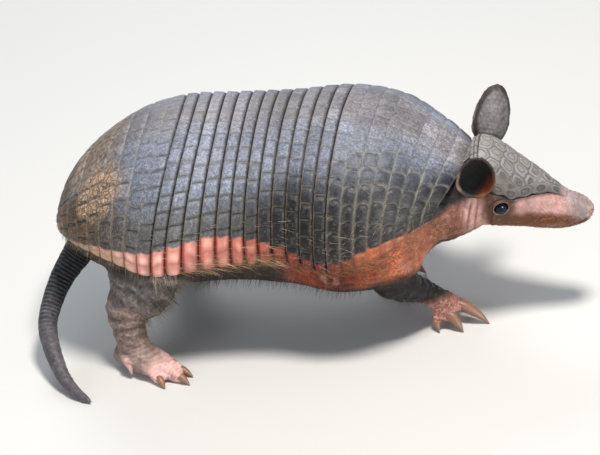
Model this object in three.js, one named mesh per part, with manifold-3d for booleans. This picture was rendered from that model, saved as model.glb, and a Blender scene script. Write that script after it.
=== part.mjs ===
// Naked-tailed armadillo, life size, standing on four feet with its tail laid round to its right.
// Millimetres. +X runs from the rump to the shoulders, +Y to the animal's left, +Z up, floor at Z 0.
import * as THREE from "three";
import { mergeVertices } from "three/addons/utils/BufferGeometryUtils.js";
import Module from "manifold-3d";

const degrees = (d) => (d * Math.PI) / 180;

// ---- driving sizes -----------------------------------------------------------------------------
// Lengths are in millimetres, angles in radians. A station is a row of one of the tables below.
const GAP = 0.3; // clearance between any two neighbours
const MOVABLE_BANDS = 12; // free bands across the back
const PLATE = 4.0; // thickness of the shell
const ARCH = degrees(100); // how far the shell wraps down each side, from the midline
const FULLNESS = 0.94; // under 1 squares the arch a little
const LEAN_POWER = 1.43; // how late the bands lean forward as they climb
const LEAN_FROM = 1; // stations between which that lean sets in
const LEAN_FULL = 4;
const PELVIC_FROM = 0.12; // stations where the pelvic shield starts and ends
const PELVIC_END = 4;
const BANDS_END = 7; // stations where the movable bands and the scapular shield end
const SCAPULAR_END = 10;
const SEAM = 0.005; // half the clearance between two bands, in stations
const BEND_FROM = -40; // the back swings to the right between these places
const BEND_TO = 120;
const BEND = degrees(10); // by this much
const TRUNK_UNDER = 1.4; // how far the trunk's back lies below the clearance under the shell
const TRUNK_FROM = 0.55; // stations where the trunk starts and ends
const TRUNK_TO = 9.9;
const BELLY_FULLNESS = 0.9; // squares the belly, as FULLNESS does the arch
const HEAD_YAW = degrees(-4); // head heading against +X
const HEAD_AT = [144, -18]; // point the head turns about
const HEAD_LOW = 0.04; // how far the head's widest line lies under its middle, over its height
const HEAD_FULLNESS_ACROSS = 0.9; // squares the head's sections, as FULLNESS does the arch
const HEAD_FULLNESS_UP = 0.92;
const HEAD_SHIELD = 1.8; // thickness of the head shield
const SHIELD_FROM = 1.06; // head sections where the head shield starts and ends
const SHIELD_TO = 8.1;
const NUCHAL = [[0.05, 0.5], [0.56, 1.0]]; // the two neck bands, in head sections
const NUCHAL_EDGE = degrees(38); // how low they reach, up from the head's side
const EYE_AT = [157, 24.4, 107]; // left eye, in the head's own frame
const EYE_RADIUS = 4.8;
const EAR_WIDE = 13; // half width of an ear
const EAR_DEEP = 10.5; // depth of its cup
const EAR_THICK = 1.3; // wall
const EAR_LOW = 0.1; // the rim's foot, over the ear's length
const EAR_MIDDLE = 0.47; // where the rim is widest
const EAR_DEEPEST = 0.33; // where the cup is deepest
const EAR_TAPER = 0.08; // how much narrower the rim is toward the tip

// Shell stations, tail notch to nape, before the shoulders are swung round:
// midline x, midline z, rim x, half width, rim z.
const SHELL = [
  [-180, 97, -179, 12, 97],
  [-176, 119, -173, 42, 105],
  [-153, 145, -154, 66, 105],
  [-116, 169, -127, 80, 98],
  [-75, 180, -99, 86, 88],
  [-35, 180, -51, 82, 90],
  [4, 179, -6, 82, 92],
  [48, 181, 38, 88, 85],
  [84, 172, 71, 84, 92],
  [111, 154, 97, 70, 100],
  [134, 136, 116, 52, 109],
];
// Underside at the same stations: lowest z, and how square the flank is below the rim.
const BELLY = [
  [80, 1.2], [74, 1.3], [66, 1.3], [59, 1.25], [55, 1.2], [53, 1.1],
  [50, 0.85], [48, 0.62], [49, 0.55], [58, 0.6], [72, 0.75],
];
// Head sections from the nape to the nose: x, top z, bottom z, half width.
const HEAD = [
  [136, 147, 88, 26], [142, 149, 84, 30], [150, 147, 82.5, 30.5], [158, 142.5, 81.5, 28],
  [166, 136, 80.5, 24.5], [175, 129, 79, 21], [185, 121, 77.5, 18], [195, 111.5, 76.5, 15.5],
  [203, 104.5, 77, 13.6], [211, 101, 79, 12], [217, 97.5, 81.5, 9.5], [221, 93.5, 85, 5],
];
// Lower edge of the head shield at the head's sections, in degrees up from the head's side.
const SHIELD_EDGE = [[18], [15], [13], [11], [9], [18], [33], [54], [66], [80]];
// Neck path: x, y, z, half width, half height.
const NECK = [
  [104, -10, 104, 48, 38], [118, -12.5, 107, 43, 34.5], [130, -15, 111, 35, 32], [142, -17.5, 116, 29, 31],
];
// Tail path, root to tip: x, y, z, half width, half height.
const TAIL = [
  [-158, -1, 82, 13.5, 13], [-166.5, -3, 74, 13, 12.5], [-176.5, -8.5, 63, 11, 11],
  [-186, -20, 52, 9.3, 9.3], [-192, -37, 41, 8.2, 8.2], [-193.5, -55, 32, 7.6, 7.6],
  [-188, -73, 22, 6.9, 6.9], [-179, -91, 12, 5.8, 5.8], [-168, -104.5, 5, 4.8, 5.1],
  [-157, -113.5, 2.8, 3.1, 3.2], [-151.5, -117, 1.9, 1.3, 1.7],
];
const TAIL_LENGTHS = [[0, 3.4, "base"], [3.4, 6.8, "mid"], [6.8, 10, "tip"]]; // from, to, name
// Legs of the right side. Path, body to foot: x, y, z, radius across the body, radius fore and aft.
// Foot, heel to ball: x, y, z, half width, half height.
// Digits, innermost first: knuckle, fingertip, its radius, then the claw's tip, half width, half height.
const HIND = {
  parts: ["thigh", "shank", "foot"],
  path: [
    [-108, -42, 98, 24, 34], [-111, -49, 79, 23, 31], [-117, -56, 61, 20, 25],
    [-127, -62, 47, 15.5, 17.5], [-128, -66.5, 33, 12, 12.6], [-125, -70, 18, 10.5, 11.8],
  ],
  foot: [
    [-140, -63, 7.5, 5.5, 5.8], [-134, -66, 11, 9.5, 10.5], [-123, -71.5, 12, 12, 12],
    [-111, -78, 9.5, 13, 9], [-104, -82, 7.5, 11, 7],
  ],
  digits: [
    [[-112, -67, 8], [-101, -70, 4.9], 4.4, [-92, -73, 0.6], 2.5, 2.6],
    [[-106, -76, 8], [-91.5, -81.5, 4.8], 4.8, [-81.5, -86.5, 0.6], 2.9, 3.0],
    [[-106, -82, 8.5], [-91.5, -91, 4.8], 5.0, [-82.5, -97, 0.6], 3.0, 3.2],
    [[-113, -82, 9], [-106.5, -92, 4.8], 4.8, [-100.5, -100.5, 0.6], 3.0, 3.2],
    [[-126, -75, 15], [-130, -79.5, 13.5], 5.0, [-127.5, -85, 4.5], 3.2, 3.4],
  ],
};
const FORE = {
  parts: ["upper_arm", "forearm", "hand"],
  path: [
    [80, -46, 98, 20, 24], [75, -51, 76, 20, 22], [72, -52, 58, 16, 17.5],
    [80, -47, 46, 12, 13.5], [91, -37, 35, 8.8, 10], [101, -30.5, 26, 6.8, 7.4],
  ],
  foot: [
    [98, -32.5, 24.5, 5.5, 6.5], [102, -30, 22, 9, 7.5], [108, -28, 18.5, 10.5, 7],
    [113, -27.5, 16, 8.5, 5.5],
  ],
  digits: [
    [[103, -23, 17], [105, -17, 11], 3.6, [111, -11.5, 0.6], 2.2, 2.6],
    [[108, -23, 17], [113, -18, 12.5], 4.2, [126, -12.5, 0.6], 2.9, 3.5],
    [[109, -27, 18], [116, -27.5, 14.5], 5.6, [138, -33, 0.8], 4.6, 5.4],
    [[106, -32, 17], [109, -36, 11.5], 5.0, [119, -43, 0.7], 3.8, 4.6],
    [[102, -34, 17], [99.5, -37.5, 8], 4.4, [101, -42.5, 0.6], 2.4, 2.8],
  ],
};
const KNEE = 2.6; // stations of a leg's path where it is split, and where it meets the foot
const ANKLE = 4.9;
const KNEE_ROOM = 0.8; // extra clearance round the end of the upper leg
const SPLIT = 0.03; // stations left free where a leg is split
const TAIL_SPLIT = 0.02; // the same for the tail
// Digit: how far along it, and its size there over its radius.
const DIGIT = [[0, 1], [0.9, 1], [1.12, 0.66]];
// Claw: how far along it, its lift over its half height, and its size there over its full size.
const CLAW = [[-0.12, 0, 1], [0.3, 0.45, 0.95], [0.7, 0.4, 0.6], [1, 0.03, 0.12]];
const CLAW_ROOM_BACK = 0.05; // how much further back a claw's cleared room starts, per millimetre of it

// ---- fineness ----------------------------------------------------------------------------------
const ARCH_STEPS = 14; // facets across the arch
const PELVIC_STEPS = 7; // facets along each piece
const SCAPULAR_STEPS = 5;
const TRUNK_STEPS = 9;
const TRUNK_ARCH_STEPS = 12; // facets across the trunk's back and across its belly
const BELLY_STEPS = 8;
const HEAD_SIDES = 14;
const SHIELD_STEPS = 8; // along and across the head shield
const SHIELD_ACROSS = 6;
const BED_STEPS = 3;
const HEAD_ROOM_STEPS = 10;
const EAR_RINGS = [0.04, 0.35, 0.62, 0.84, 1]; // bottom of the cup to its rim
const EAR_SIDES = 14;
const EYE_DETAIL = 1;
const SOCKET_DETAIL = 1;
const SOCKET_COARSE = 0.93; // how near the socket's faces come to its centre, over its radius
const NUDGE = 0.02; // step for taking slopes, in stations or radians
const WELD = 1e-4; // points closer than this are one
const FLAT = 0.06; // facets are merged where that moves the surface by less than this

// ---- rooms cut out of neighbours -----------------------------------------------------------------
const SHELL_ROOM_OUT = 14; // how far outside the shell its neighbours are cut away
const SHELL_ROOM_REACH = 0.012; // past its rim, in radians
const SHELL_ROOM_ENDS = 0.03; // past its ends, in stations
const BED_FROM = -0.3; // head section behind the nape where the neck bands' bed starts
const BED_BEHIND = 0.06; // how far past the head shield its bed runs, in head sections
const BED_AHEAD = 0.08;
const BED_EDGE = 0.02; // and past its lower edge, in radians
const BED_OUT = 5; // how far outside the head its beds are cut
const HEAD_ROOM_DEPTH = 4; // how far inside the head the room over the plates reaches
const EAR_ROOM = 0.5; // clearance round an ear
const EAR_MOUTH = 3; // how far that room runs on past the rim

// ---- colour and roughness ------------------------------------------------------------------------
const LOOKS = {
  shell: [0x4a4b50, 0.5],
  trunk: [0x8a5a4a, 0.7],
  neck: [0x8a6a5c, 0.7],
  head: [0xa87868, 0.6],
  headShield: [0x7d7468, 0.5],
  nuchal: [0x6a6460, 0.5],
  ear: [0x5a524e, 0.6],
  eye: [0x101018, 0.1],
  tail: [0x4c4a4c, 0.6],
  leg: [0x6b5a50, 0.7],
  foot: [0xc08a7a, 0.7],
  claw: [0xa07a58, 0.45],
};

// ---- curves ------------------------------------------------------------------------------------
const vec = (x, y, z) => new THREE.Vector3(x, y, z);
const power = (v, p) => Math.sign(v) * Math.abs(v) ** p;
const range = (a, b, n) => Array.from({ length: n + 1 }, (_, i) => a + ((b - a) * i) / n);
const turns = (n) => range(0, n - 1, n - 1).map((i) => (i / n) * 2 * Math.PI); // n angles round a ring

function smooth(from, to, x) {
  const t = Math.min(Math.max((x - from) / (to - from), 0), 1);
  return t * t * (3 - 2 * t);
}
// Smooth curve through the rows of a table.
function spline(rows, u) {
  const i = Math.min(Math.max(Math.floor(u), 0), rows.length - 2);
  const t = u - i;
  const p1 = rows[i];
  const p2 = rows[i + 1];
  const p0 = rows[i - 1] ?? p1.map((v, k) => 2 * v - p2[k]);
  const p3 = rows[i + 2] ?? p2.map((v, k) => 2 * v - p1[k]);
  return p1.map((v, k) => 0.5 * (2 * v + (p2[k] - p0[k]) * t
    + (2 * p0[k] - 5 * v + 4 * p2[k] - p3[k]) * t * t
    + (3 * v - p0[k] - 3 * p2[k] + p3[k]) * t ** 3));
}
// Swings everything ahead of BEND_FROM round to the right.
function bend(x, y, z) {
  const curve = BEND / (BEND_TO - BEND_FROM);
  const a = curve * Math.min(Math.max(x - BEND_FROM, 0), BEND_TO - BEND_FROM);
  const past = Math.max(x - BEND_TO, 0);
  const before = Math.min(x - BEND_FROM, 0);
  return vec(
    BEND_FROM + Math.sin(a) / curve + past * Math.cos(BEND) + before + y * Math.sin(a),
    -(1 - Math.cos(a)) / curve - past * Math.sin(BEND) + y * Math.cos(a),
    z,
  );
}
// Outer face of the shell at station u and angle q from the midline.
function shellPoint(u, q) {
  const [middleX, middleZ, rimX, wide, rimZ] = spline(SHELL, u);
  const drop = (1 - power(Math.cos(q), FULLNESS)) / (1 - power(Math.cos(ARCH), FULLNESS));
  const lean = 1 + (LEAN_POWER - 1) * smooth(LEAN_FROM, LEAN_FULL, u);
  const rise = Math.max(1 - drop, 0) ** lean;
  const x = rimX + (middleX - rimX) * rise;
  return bend(x, wide * power(Math.sin(q), FULLNESS), middleZ + (rimZ - middleZ) * drop);
}
function shellNormal(u, q) {
  const along = shellPoint(u + NUDGE, q).sub(shellPoint(Math.max(u - NUDGE, 0), q));
  const across = shellPoint(u, q + NUDGE).sub(shellPoint(u, q - NUDGE));
  return along.cross(across).normalize();
}
const shellDepth = (u, q, depth) => shellPoint(u, q).addScaledVector(shellNormal(u, q), -depth);

// ---- solids ------------------------------------------------------------------------------------
const wasm = await Module();
wasm.setup();

// Faces are turned outward together.
function geometryFrom(points, faces) {
  const geometry = new THREE.BufferGeometry();
  const numbers = points.flatMap((p) => [p.x, p.y, p.z]);
  geometry.setAttribute("position", new THREE.Float32BufferAttribute(numbers, 3));
  let volume = 0;
  for (const [a, b, c] of faces) volume += points[a].dot(points[b].clone().cross(points[c]));
  geometry.setIndex(faces.flatMap(([a, b, c]) => (volume < 0 ? [a, c, b] : [a, b, c])));
  return geometry;
}
// Closed skin over a run of rings with the same number of points, capped flat at both ends.
function loft(rings) {
  const n = rings[0].length;
  const points = rings.flat();
  const faces = [];
  for (let r = 0; r + 1 < rings.length; r++) {
    for (let i = 0; i < n; i++) {
      const a = r * n + i;
      const b = r * n + ((i + 1) % n);
      faces.push([a, b, b + n], [a, b + n, a + n]);
    }
  }
  for (const [r, flip] of [[0, true], [rings.length - 1, false]]) {
    const middle = rings[r].reduce((sum, p) => sum.add(p), vec(0, 0, 0)).divideScalar(n);
    const m = points.push(middle) - 1;
    for (let i = 0; i < n; i++) {
      const a = r * n + i;
      const b = r * n + ((i + 1) % n);
      faces.push(flip ? [m, b, a] : [m, a, b]);
    }
  }
  return geometryFrom(points, faces);
}
// Closed plate between an outer and an inner grid of points.
function sheet(outer, inner) {
  const nu = outer.length;
  const nv = outer[0].length;
  const faces = [];
  const at = (side, i, j) => side * nu * nv + i * nv + j;
  const quad = (a, b, c, d) => faces.push([a, b, c], [a, c, d]);
  for (let i = 0; i + 1 < nu; i++) {
    for (let j = 0; j + 1 < nv; j++) {
      quad(at(0, i, j), at(0, i + 1, j), at(0, i + 1, j + 1), at(0, i, j + 1));
      quad(at(1, i, j), at(1, i, j + 1), at(1, i + 1, j + 1), at(1, i + 1, j));
    }
    quad(at(0, i, 0), at(1, i, 0), at(1, i + 1, 0), at(0, i + 1, 0));
    quad(at(0, i, nv - 1), at(0, i + 1, nv - 1), at(1, i + 1, nv - 1), at(1, i, nv - 1));
  }
  for (let j = 0; j + 1 < nv; j++) {
    quad(at(0, 0, j), at(0, 0, j + 1), at(1, 0, j + 1), at(1, 0, j));
    quad(at(0, nu - 1, j), at(1, nu - 1, j), at(1, nu - 1, j + 1), at(0, nu - 1, j + 1));
  }
  return geometryFrom([...outer.flat(), ...inner.flat()], faces);
}
function solid(geometry) {
  const merged = mergeVertices(geometry.clone(), WELD);
  return new wasm.Manifold(new wasm.Mesh({
    numProp: 3,
    vertProperties: new Float32Array(merged.attributes.position.array),
    triVerts: new Uint32Array(merged.index.array),
  }));
}
// Tapering limb: stations of [x, y, z, radius across, radius up]. Rings stand square to the path,
// `per` to a station; `up` picks which way the second radius points.
function limb(stations, { sides, per, up = vec(0, 0, 1), from = 0, to = stations.length - 1 }) {
  const place = (u) => vec(...spline(stations, Math.min(Math.max(u, 0), stations.length - 1)));
  const ring = (u) => {
    const [x, y, z, across, rise] = spline(stations, u);
    const along = place(u + NUDGE).sub(place(u - NUDGE)).normalize();
    const side = up.clone().cross(along).normalize();
    const top = along.clone().cross(side);
    return turns(sides).map((q) => vec(x, y, z)
      .addScaledVector(side, across * Math.cos(q))
      .addScaledVector(top, rise * Math.sin(q)));
  };
  const steps = Math.max(1, Math.round((to - from) * per));
  return solid(loft(range(from, to, steps).map(ring)));
}
function ball(centre, radius, detail) {
  const geometry = new THREE.IcosahedronGeometry(radius, detail);
  geometry.deleteAttribute("normal");
  geometry.deleteAttribute("uv");
  return solid(geometry).translate([centre.x, centre.y, centre.z]);
}
const cut = (shape, ...tools) => tools.reduce((s, t) => s.subtract(t), shape);
const join = (shapes) => shapes.reduce((s, t) => s.add(t));
// Keeps the biggest body, dropping slivers a cut leaves behind.
const biggest = (shape) => shape.decompose().reduce((a, b) => (a.volume() > b.volume() ? a : b));
const aboveFloor = (shape) => shape.trimByPlane([0, 0, 1], 0);

function mesh(name, shape, look) {
  const { vertProperties, triVerts } = shape.simplify(FLAT).getMesh();
  const geometry = new THREE.BufferGeometry();
  geometry.setAttribute("position", new THREE.Float32BufferAttribute(Array.from(vertProperties), 3));
  geometry.setIndex(Array.from(triVerts));
  geometry.computeVertexNormals();
  const [color, roughness] = LOOKS[look];
  const out = new THREE.Mesh(geometry, new THREE.MeshStandardMaterial({ color, roughness }));
  out.name = name;
  return out;
}

// ---- shell -------------------------------------------------------------------------------------
function shellPiece(stations, { out = 0, depth = PLATE, reach = 0 } = {}) {
  const arch = range(-ARCH - reach, ARCH + reach, ARCH_STEPS);
  const grid = (level) => stations.map((u) => arch.map((q) => shellDepth(u, q, level)));
  return solid(sheet(grid(-out), grid(depth)));
}
const bandStep = (BANDS_END - PELVIC_END) / MOVABLE_BANDS;
const pelvicStations = range(PELVIC_FROM, PELVIC_END - SEAM, PELVIC_STEPS);
const bandStations = range(0, MOVABLE_BANDS - 1, MOVABLE_BANDS - 1).map((i) =>
  [PELVIC_END + i * bandStep + SEAM, PELVIC_END + (i + 1) * bandStep - SEAM]);
const scapularStations = range(BANDS_END + SEAM, SCAPULAR_END, SCAPULAR_STEPS);
const pelvicShield = shellPiece(pelvicStations);
const bands = bandStations.map((s) => shellPiece(s));
const scapularShield = shellPiece(scapularStations);
// The room the whole shell takes up, for cutting its neighbours clear of it.
const allStations = [
  PELVIC_FROM - SHELL_ROOM_ENDS, ...pelvicStations, ...bandStations.flat(), ...scapularStations,
  SCAPULAR_END + SHELL_ROOM_ENDS,
];
const roomAround = (out) => shellPiece(allStations, { out, depth: PLATE + GAP, reach: SHELL_ROOM_REACH });
const shellRoom = roomAround(SHELL_ROOM_OUT);
const shellSurface = roomAround(GAP);

// ---- trunk -------------------------------------------------------------------------------------
function trunkRing(u, grow) {
  const depth = PLATE + GAP + TRUNK_UNDER - grow;
  const top = range(-ARCH, ARCH, TRUNK_ARCH_STEPS).map((q) => shellDepth(u, q, depth));
  const left = top.at(-1);
  const right = top[0];
  const [low, square] = spline(BELLY, u);
  const under = range(0, Math.PI, BELLY_STEPS).slice(1, -1).map((q) => {
    const p = left.clone().lerp(right, (1 - power(Math.cos(q), BELLY_FULLNESS)) / 2);
    p.z -= (p.z - low + grow) * Math.sin(q) ** square;
    return p;
  });
  return [...top, ...under];
}
const trunkSolid = (grow) =>
  solid(loft(range(TRUNK_FROM, TRUNK_TO, TRUNK_STEPS).map((u) => trunkRing(u, grow))));
const trunk = trunkSolid(0);
const trunkRoom = trunkSolid(GAP);

// ---- head --------------------------------------------------------------------------------------
// Head frame: x along the head, across to its left, z up.
function headFrame(x, across, z) {
  const c = Math.cos(HEAD_YAW);
  const s = Math.sin(HEAD_YAW);
  const dx = x - HEAD_AT[0];
  return vec(HEAD_AT[0] + dx * c - across * s, HEAD_AT[1] + dx * s + across * c, z);
}
// Point on the head at section position u, angle q (0 = left side, a quarter turn = top), grown out.
function headPoint(u, q, grow) {
  const [x, top, low, half] = spline(HEAD, u);
  const middle = (top + low) / 2 - (top - low) * HEAD_LOW;
  const reach = q > 0 && q < Math.PI ? top - middle : middle - low;
  const across = (half + grow) * power(Math.cos(q), HEAD_FULLNESS_ACROSS);
  return headFrame(x, across, middle + power(Math.sin(q), HEAD_FULLNESS_UP) * (reach + grow));
}
function headSolid(grow) {
  const end = HEAD.length - 1;
  const rings = range(0, end, end).map((u) => turns(HEAD_SIDES).map((q) => headPoint(u, q, grow)));
  for (const p of rings.at(-1)) p.x += grow;
  return solid(loft(rings));
}
// Plate lying in the top of the head between two positions; `edge` gives its lower edge angle there.
function headPlate(from, to, steps, edge, { out = 0, depth = HEAD_SHIELD } = {}) {
  const across = (u) => range(edge(u), Math.PI - edge(u), SHIELD_ACROSS);
  const grid = (grow) => range(from, to, steps).map((u) => across(u).map((q) => headPoint(u, q, grow)));
  return solid(sheet(grid(out), grid(-depth)));
}
const shieldEdge = (u) => degrees(spline(SHIELD_EDGE, u)[0]);

// Ears: deep cups standing on the back corners of the head, opening outward.
function ear(base, tip, open) {
  const along = tip.clone().sub(base);
  const length = along.length();
  along.normalize();
  const facing = open.clone().addScaledVector(along, -open.dot(along)).normalize();
  const wide = along.clone().cross(facing);
  // r runs from the bottom of the cup to its rim, a round the rim from the tip.
  const inside = (r, a) => {
    const c = Math.cos(a);
    const rim = EAR_MIDDLE + c * (c > 0 ? 1 - EAR_MIDDLE : EAR_MIDDLE - EAR_LOW);
    return base.clone()
      .addScaledVector(along, length * (EAR_DEEPEST + (rim - EAR_DEEPEST) * r))
      .addScaledVector(wide, EAR_WIDE * Math.sin(a) * (1 - EAR_TAPER * c) * r)
      .addScaledVector(facing, -EAR_DEEP * (1 - r * r));
  };
  const outside = (r, a, wall) => {
    const outward = inside(r + NUDGE, a).sub(inside(r - NUDGE, a));
    const around = inside(r, a + NUDGE).sub(inside(r, a - NUDGE));
    const out = outward.cross(around).normalize();
    return inside(r, a).addScaledVector(out, out.dot(facing) < 0 ? wall : -wall);
  };
  const inner = EAR_RINGS.map((r) => turns(EAR_SIDES).map((a) => inside(r, a)));
  const shifted = (wall) => EAR_RINGS.map((r) => turns(EAR_SIDES).map((a) => outside(r, a, wall)));
  const cup = solid(loft([...inner, ...shifted(EAR_THICK).toReversed()]));
  const room = shifted(EAR_THICK + EAR_ROOM);
  room.push(room.at(-1).map((p) => p.clone().addScaledVector(facing, EAR_MOUTH)));
  return { shape: biggest(cut(cup, shellSurface)), room: solid(loft(room)) };
}
const earRight = ear(vec(137.5, -50, 116), vec(142.5, -57, 154), vec(0.12, -1, 0.25));
const earLeft = ear(vec(144, 8, 126), vec(156.5, 26, 170), vec(-0.2, 1, 0.1));
const earRooms = [earRight.room, earLeft.room];

const shieldPlate = headPlate(SHIELD_FROM, SHIELD_TO, SHIELD_STEPS, shieldEdge);
const headShield = biggest(cut(shieldPlate, ...earRooms));
const nuchalBands = NUCHAL.map(([from, to]) =>
  biggest(cut(headPlate(from, to, 1, () => NUCHAL_EDGE), ...earRooms)));
const eyeCentres = [1, -1].map((side) => headFrame(EYE_AT[0], side * EYE_AT[1], EYE_AT[2]));
const eyes = eyeCentres.map((p) => ball(p, EYE_RADIUS, EYE_DETAIL));
const sockets = eyeCentres.map((p) => ball(p, (EYE_RADIUS + GAP) / SOCKET_COARSE, SOCKET_DETAIL));
const BED = { out: BED_OUT, depth: HEAD_SHIELD + GAP };
const shieldBed = headPlate(
  SHIELD_FROM - BED_BEHIND, SHIELD_TO + BED_AHEAD, SHIELD_STEPS, (u) => shieldEdge(u) - BED_EDGE, BED);
const nuchalBed = headPlate(BED_FROM, SHIELD_FROM, BED_STEPS, () => NUCHAL_EDGE - BED_EDGE, BED);
const head = biggest(cut(headSolid(0), shieldBed, nuchalBed, ...sockets, ...earRooms));
const plateRoom = headPlate(
  BED_FROM, SHIELD_TO + BED_AHEAD, HEAD_ROOM_STEPS, (u) => Math.min(shieldEdge(u), NUCHAL_EDGE),
  { out: 2 * GAP, depth: HEAD_ROOM_DEPTH });
const headRoom = join([headSolid(GAP), plateRoom]);

// ---- neck and tail -----------------------------------------------------------------------------
const grown = (stations, by) => stations.map(([x, y, z, a, b]) => [x, y, z, a + by, b + by]);
const neckSolid = (grow) => limb(grown(NECK, grow), { sides: 12, per: 1 });
const neck = biggest(cut(neckSolid(0), trunkRoom, headRoom, shellRoom, ...earRooms));
const neckRoom = neckSolid(GAP);

const tailLengths = TAIL_LENGTHS.map(([from, to, name]) => {
  const shape = limb(TAIL, { sides: 10, per: 2, from: from ? from + TAIL_SPLIT : 0, to });
  const clear = from ? aboveFloor(shape) : biggest(cut(shape, trunkRoom, shellRoom));
  return mesh(`tail_${name}`, clear, "tail");
});

// ---- legs --------------------------------------------------------------------------------------
// One leg. `side` is -1 on the right; `shift` carries the foot forward and `spread` outward.
function leg(name, { parts, path, foot, digits }, side, shift, spread) {
  const hip = path[0][2];
  const move = ([x, y, z, ...rest]) => {
    const fall = 1 - Math.min(z, hip) / hip;
    return [x + shift * fall, side * -(y - spread * fall), z, ...rest];
  };
  const between = (a, b, t) => a.map((v, i) => v + (b[i] - v) * t);
  const length = (grow, from, to) =>
    limb(grown(path.map(move), grow), { sides: 10, per: 2, up: vec(1, 0, 0), from, to });
  const upper = biggest(cut(length(0, 0, KNEE), trunkRoom, shellRoom, neckRoom));
  const upperRoom = length(GAP + KNEE_ROOM, 0, KNEE + SPLIT);
  const lower = biggest(cut(length(0, KNEE + SPLIT, ANKLE), upperRoom, trunkRoom, shellRoom));
  const lowerRoom = length(GAP, KNEE, ANKLE + SPLIT);
  const claw = ([, tip, , point, wide, high], grow) => {
    const rows = CLAW.map(([t, lift, size], i) => {
      const start = i ? t : t - grow * CLAW_ROOM_BACK;
      const [x, y, z] = between(move(tip), move(point), start);
      return [x, y, z + high * lift, wide * size + grow, high * size + grow];
    });
    return limb(rows, { sides: 6, per: 1 });
  };
  const digit = ([knuckle, tip, radius]) => {
    const rows = DIGIT.map(([t, size]) =>
      [...between(move(knuckle), move(tip), t), radius * size, radius * size]);
    return limb(rows, { sides: 6, per: 1 });
  };
  const pad = join([limb(foot.map(move), { sides: 8, per: 1 }), ...digits.map(digit)]);
  const sole = biggest(aboveFloor(cut(pad, lowerRoom, ...digits.map((d) => claw(d, GAP)))));
  return [
    mesh(`${name}_${parts[0]}`, upper, "leg"),
    mesh(`${name}_${parts[1]}`, lower, "leg"),
    mesh(`${name}_${parts[2]}`, sole, "foot"),
    ...digits.map((d, i) => mesh(`${name}_claw_${i + 1}`, aboveFloor(claw(d, 0)), "claw")),
  ];
}

// ---- assembly ----------------------------------------------------------------------------------
const part = new THREE.Group().add(
  mesh("pelvic_shield", pelvicShield, "shell"),
  ...bands.map((band, i) => mesh(`band_${String(i + 1).padStart(2, "0")}`, band, "shell")),
  mesh("scapular_shield", scapularShield, "shell"),
  mesh("trunk", trunk, "trunk"),
  mesh("neck", neck, "neck"),
  mesh("head", head, "head"),
  mesh("head_shield", headShield, "headShield"),
  ...nuchalBands.map((band, i) => mesh(`nuchal_band_${i + 1}`, band, "nuchal")),
  mesh("ear_left", earLeft.shape, "ear"),
  mesh("ear_right", earRight.shape, "ear"),
  mesh("eye_left", eyes[0], "eye"),
  mesh("eye_right", eyes[1], "eye"),
  ...tailLengths,
  ...leg("hind_right", HIND, -1, 0, 0),
  ...leg("hind_left", HIND, 1, 26, 0),
  ...leg("fore_right", FORE, -1, 0, 0),
  ...leg("fore_left", FORE, 1, -52, 12),
);
// The origin is on the floor, under the middle of the whole animal.
const centre = new THREE.Box3().setFromObject(part).getCenter(vec(0, 0, 0));
for (const m of part.children) m.geometry.translate(-centre.x, -centre.y, 0);
export default part;
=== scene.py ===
"""Naked-tailed armadillo, life size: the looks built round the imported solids.

Shapes are worked out in millimetres from the same named sizes as the solids, and placed in the
frame, in metres, by the solids' own eyes. Masks are worked out point by point and drive the
procedural materials. Left is +Y, the animal faces +X.
"""

import math

import bmesh
import bpy
import numpy as np
from mathutils import Matrix, Vector


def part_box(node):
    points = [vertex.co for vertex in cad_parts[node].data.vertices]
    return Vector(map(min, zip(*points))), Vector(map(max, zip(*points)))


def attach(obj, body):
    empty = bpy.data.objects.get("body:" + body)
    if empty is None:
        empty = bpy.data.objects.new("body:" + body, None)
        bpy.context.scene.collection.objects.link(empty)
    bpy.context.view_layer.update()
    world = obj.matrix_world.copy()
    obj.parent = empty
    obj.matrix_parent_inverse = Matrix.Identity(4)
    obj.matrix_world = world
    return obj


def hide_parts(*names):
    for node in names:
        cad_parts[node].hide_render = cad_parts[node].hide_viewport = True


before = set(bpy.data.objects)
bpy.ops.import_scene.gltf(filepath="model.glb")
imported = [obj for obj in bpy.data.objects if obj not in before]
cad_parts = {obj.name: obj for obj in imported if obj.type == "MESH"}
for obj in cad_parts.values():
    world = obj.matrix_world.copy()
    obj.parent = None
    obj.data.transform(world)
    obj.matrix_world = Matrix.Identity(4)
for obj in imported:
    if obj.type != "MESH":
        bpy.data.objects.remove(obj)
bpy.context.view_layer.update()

# ---- driving sizes, millimetres and radians -----------------------------------------------------
MM = 0.001
TAU = 2 * math.pi
PLATE = 4.0  # thickness of the shell
ARCH = math.radians(100)  # how far the shell wraps down each side
FULLNESS = 0.94
LEAN_POWER = 1.43
PELVIC_START, PELVIC_END, BANDS_END, SHELL_END = 0.12, 4.0, 7.0, 10.0
MOVABLE_BANDS = 12
BEND_FROM, BEND_TO, BEND = -40, 120, math.radians(10)
HEAD_YAW, HEAD_AT = math.radians(-4), (144, -18)
EYE_AT = (157, 24.4, 107)
EYE_BALL, EYE_SINK = 5.9, 4.5  # the eyeball's radius, and its centre's depth under the skin

# Shell stations, tail notch to nape: midline x, midline z, rim x, half width, rim z.
SHELL = [
    [-180, 97, -179, 12, 97], [-176, 119, -173, 42, 105], [-153, 145, -154, 66, 105],
    [-116, 169, -127, 80, 98], [-75, 180, -99, 86, 88], [-35, 180, -51, 82, 90],
    [4, 179, -6, 82, 92], [48, 181, 38, 88, 85], [84, 172, 71, 84, 92],
    [111, 154, 97, 70, 100], [134, 136, 116, 52, 109],
]
STATION_LENGTH = 42  # millimetres from one station to the next, roughly
ARCH_RADIUS = 80  # the arch's radius, roughly
# Angle from the midline, in degrees, at which the dark plates give way to pink, by station.
PINK_FROM = [[96], [95], [91.5], [89], [86], [81.5], [88.5], [94], [90], [89.5], [94]]

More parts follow.
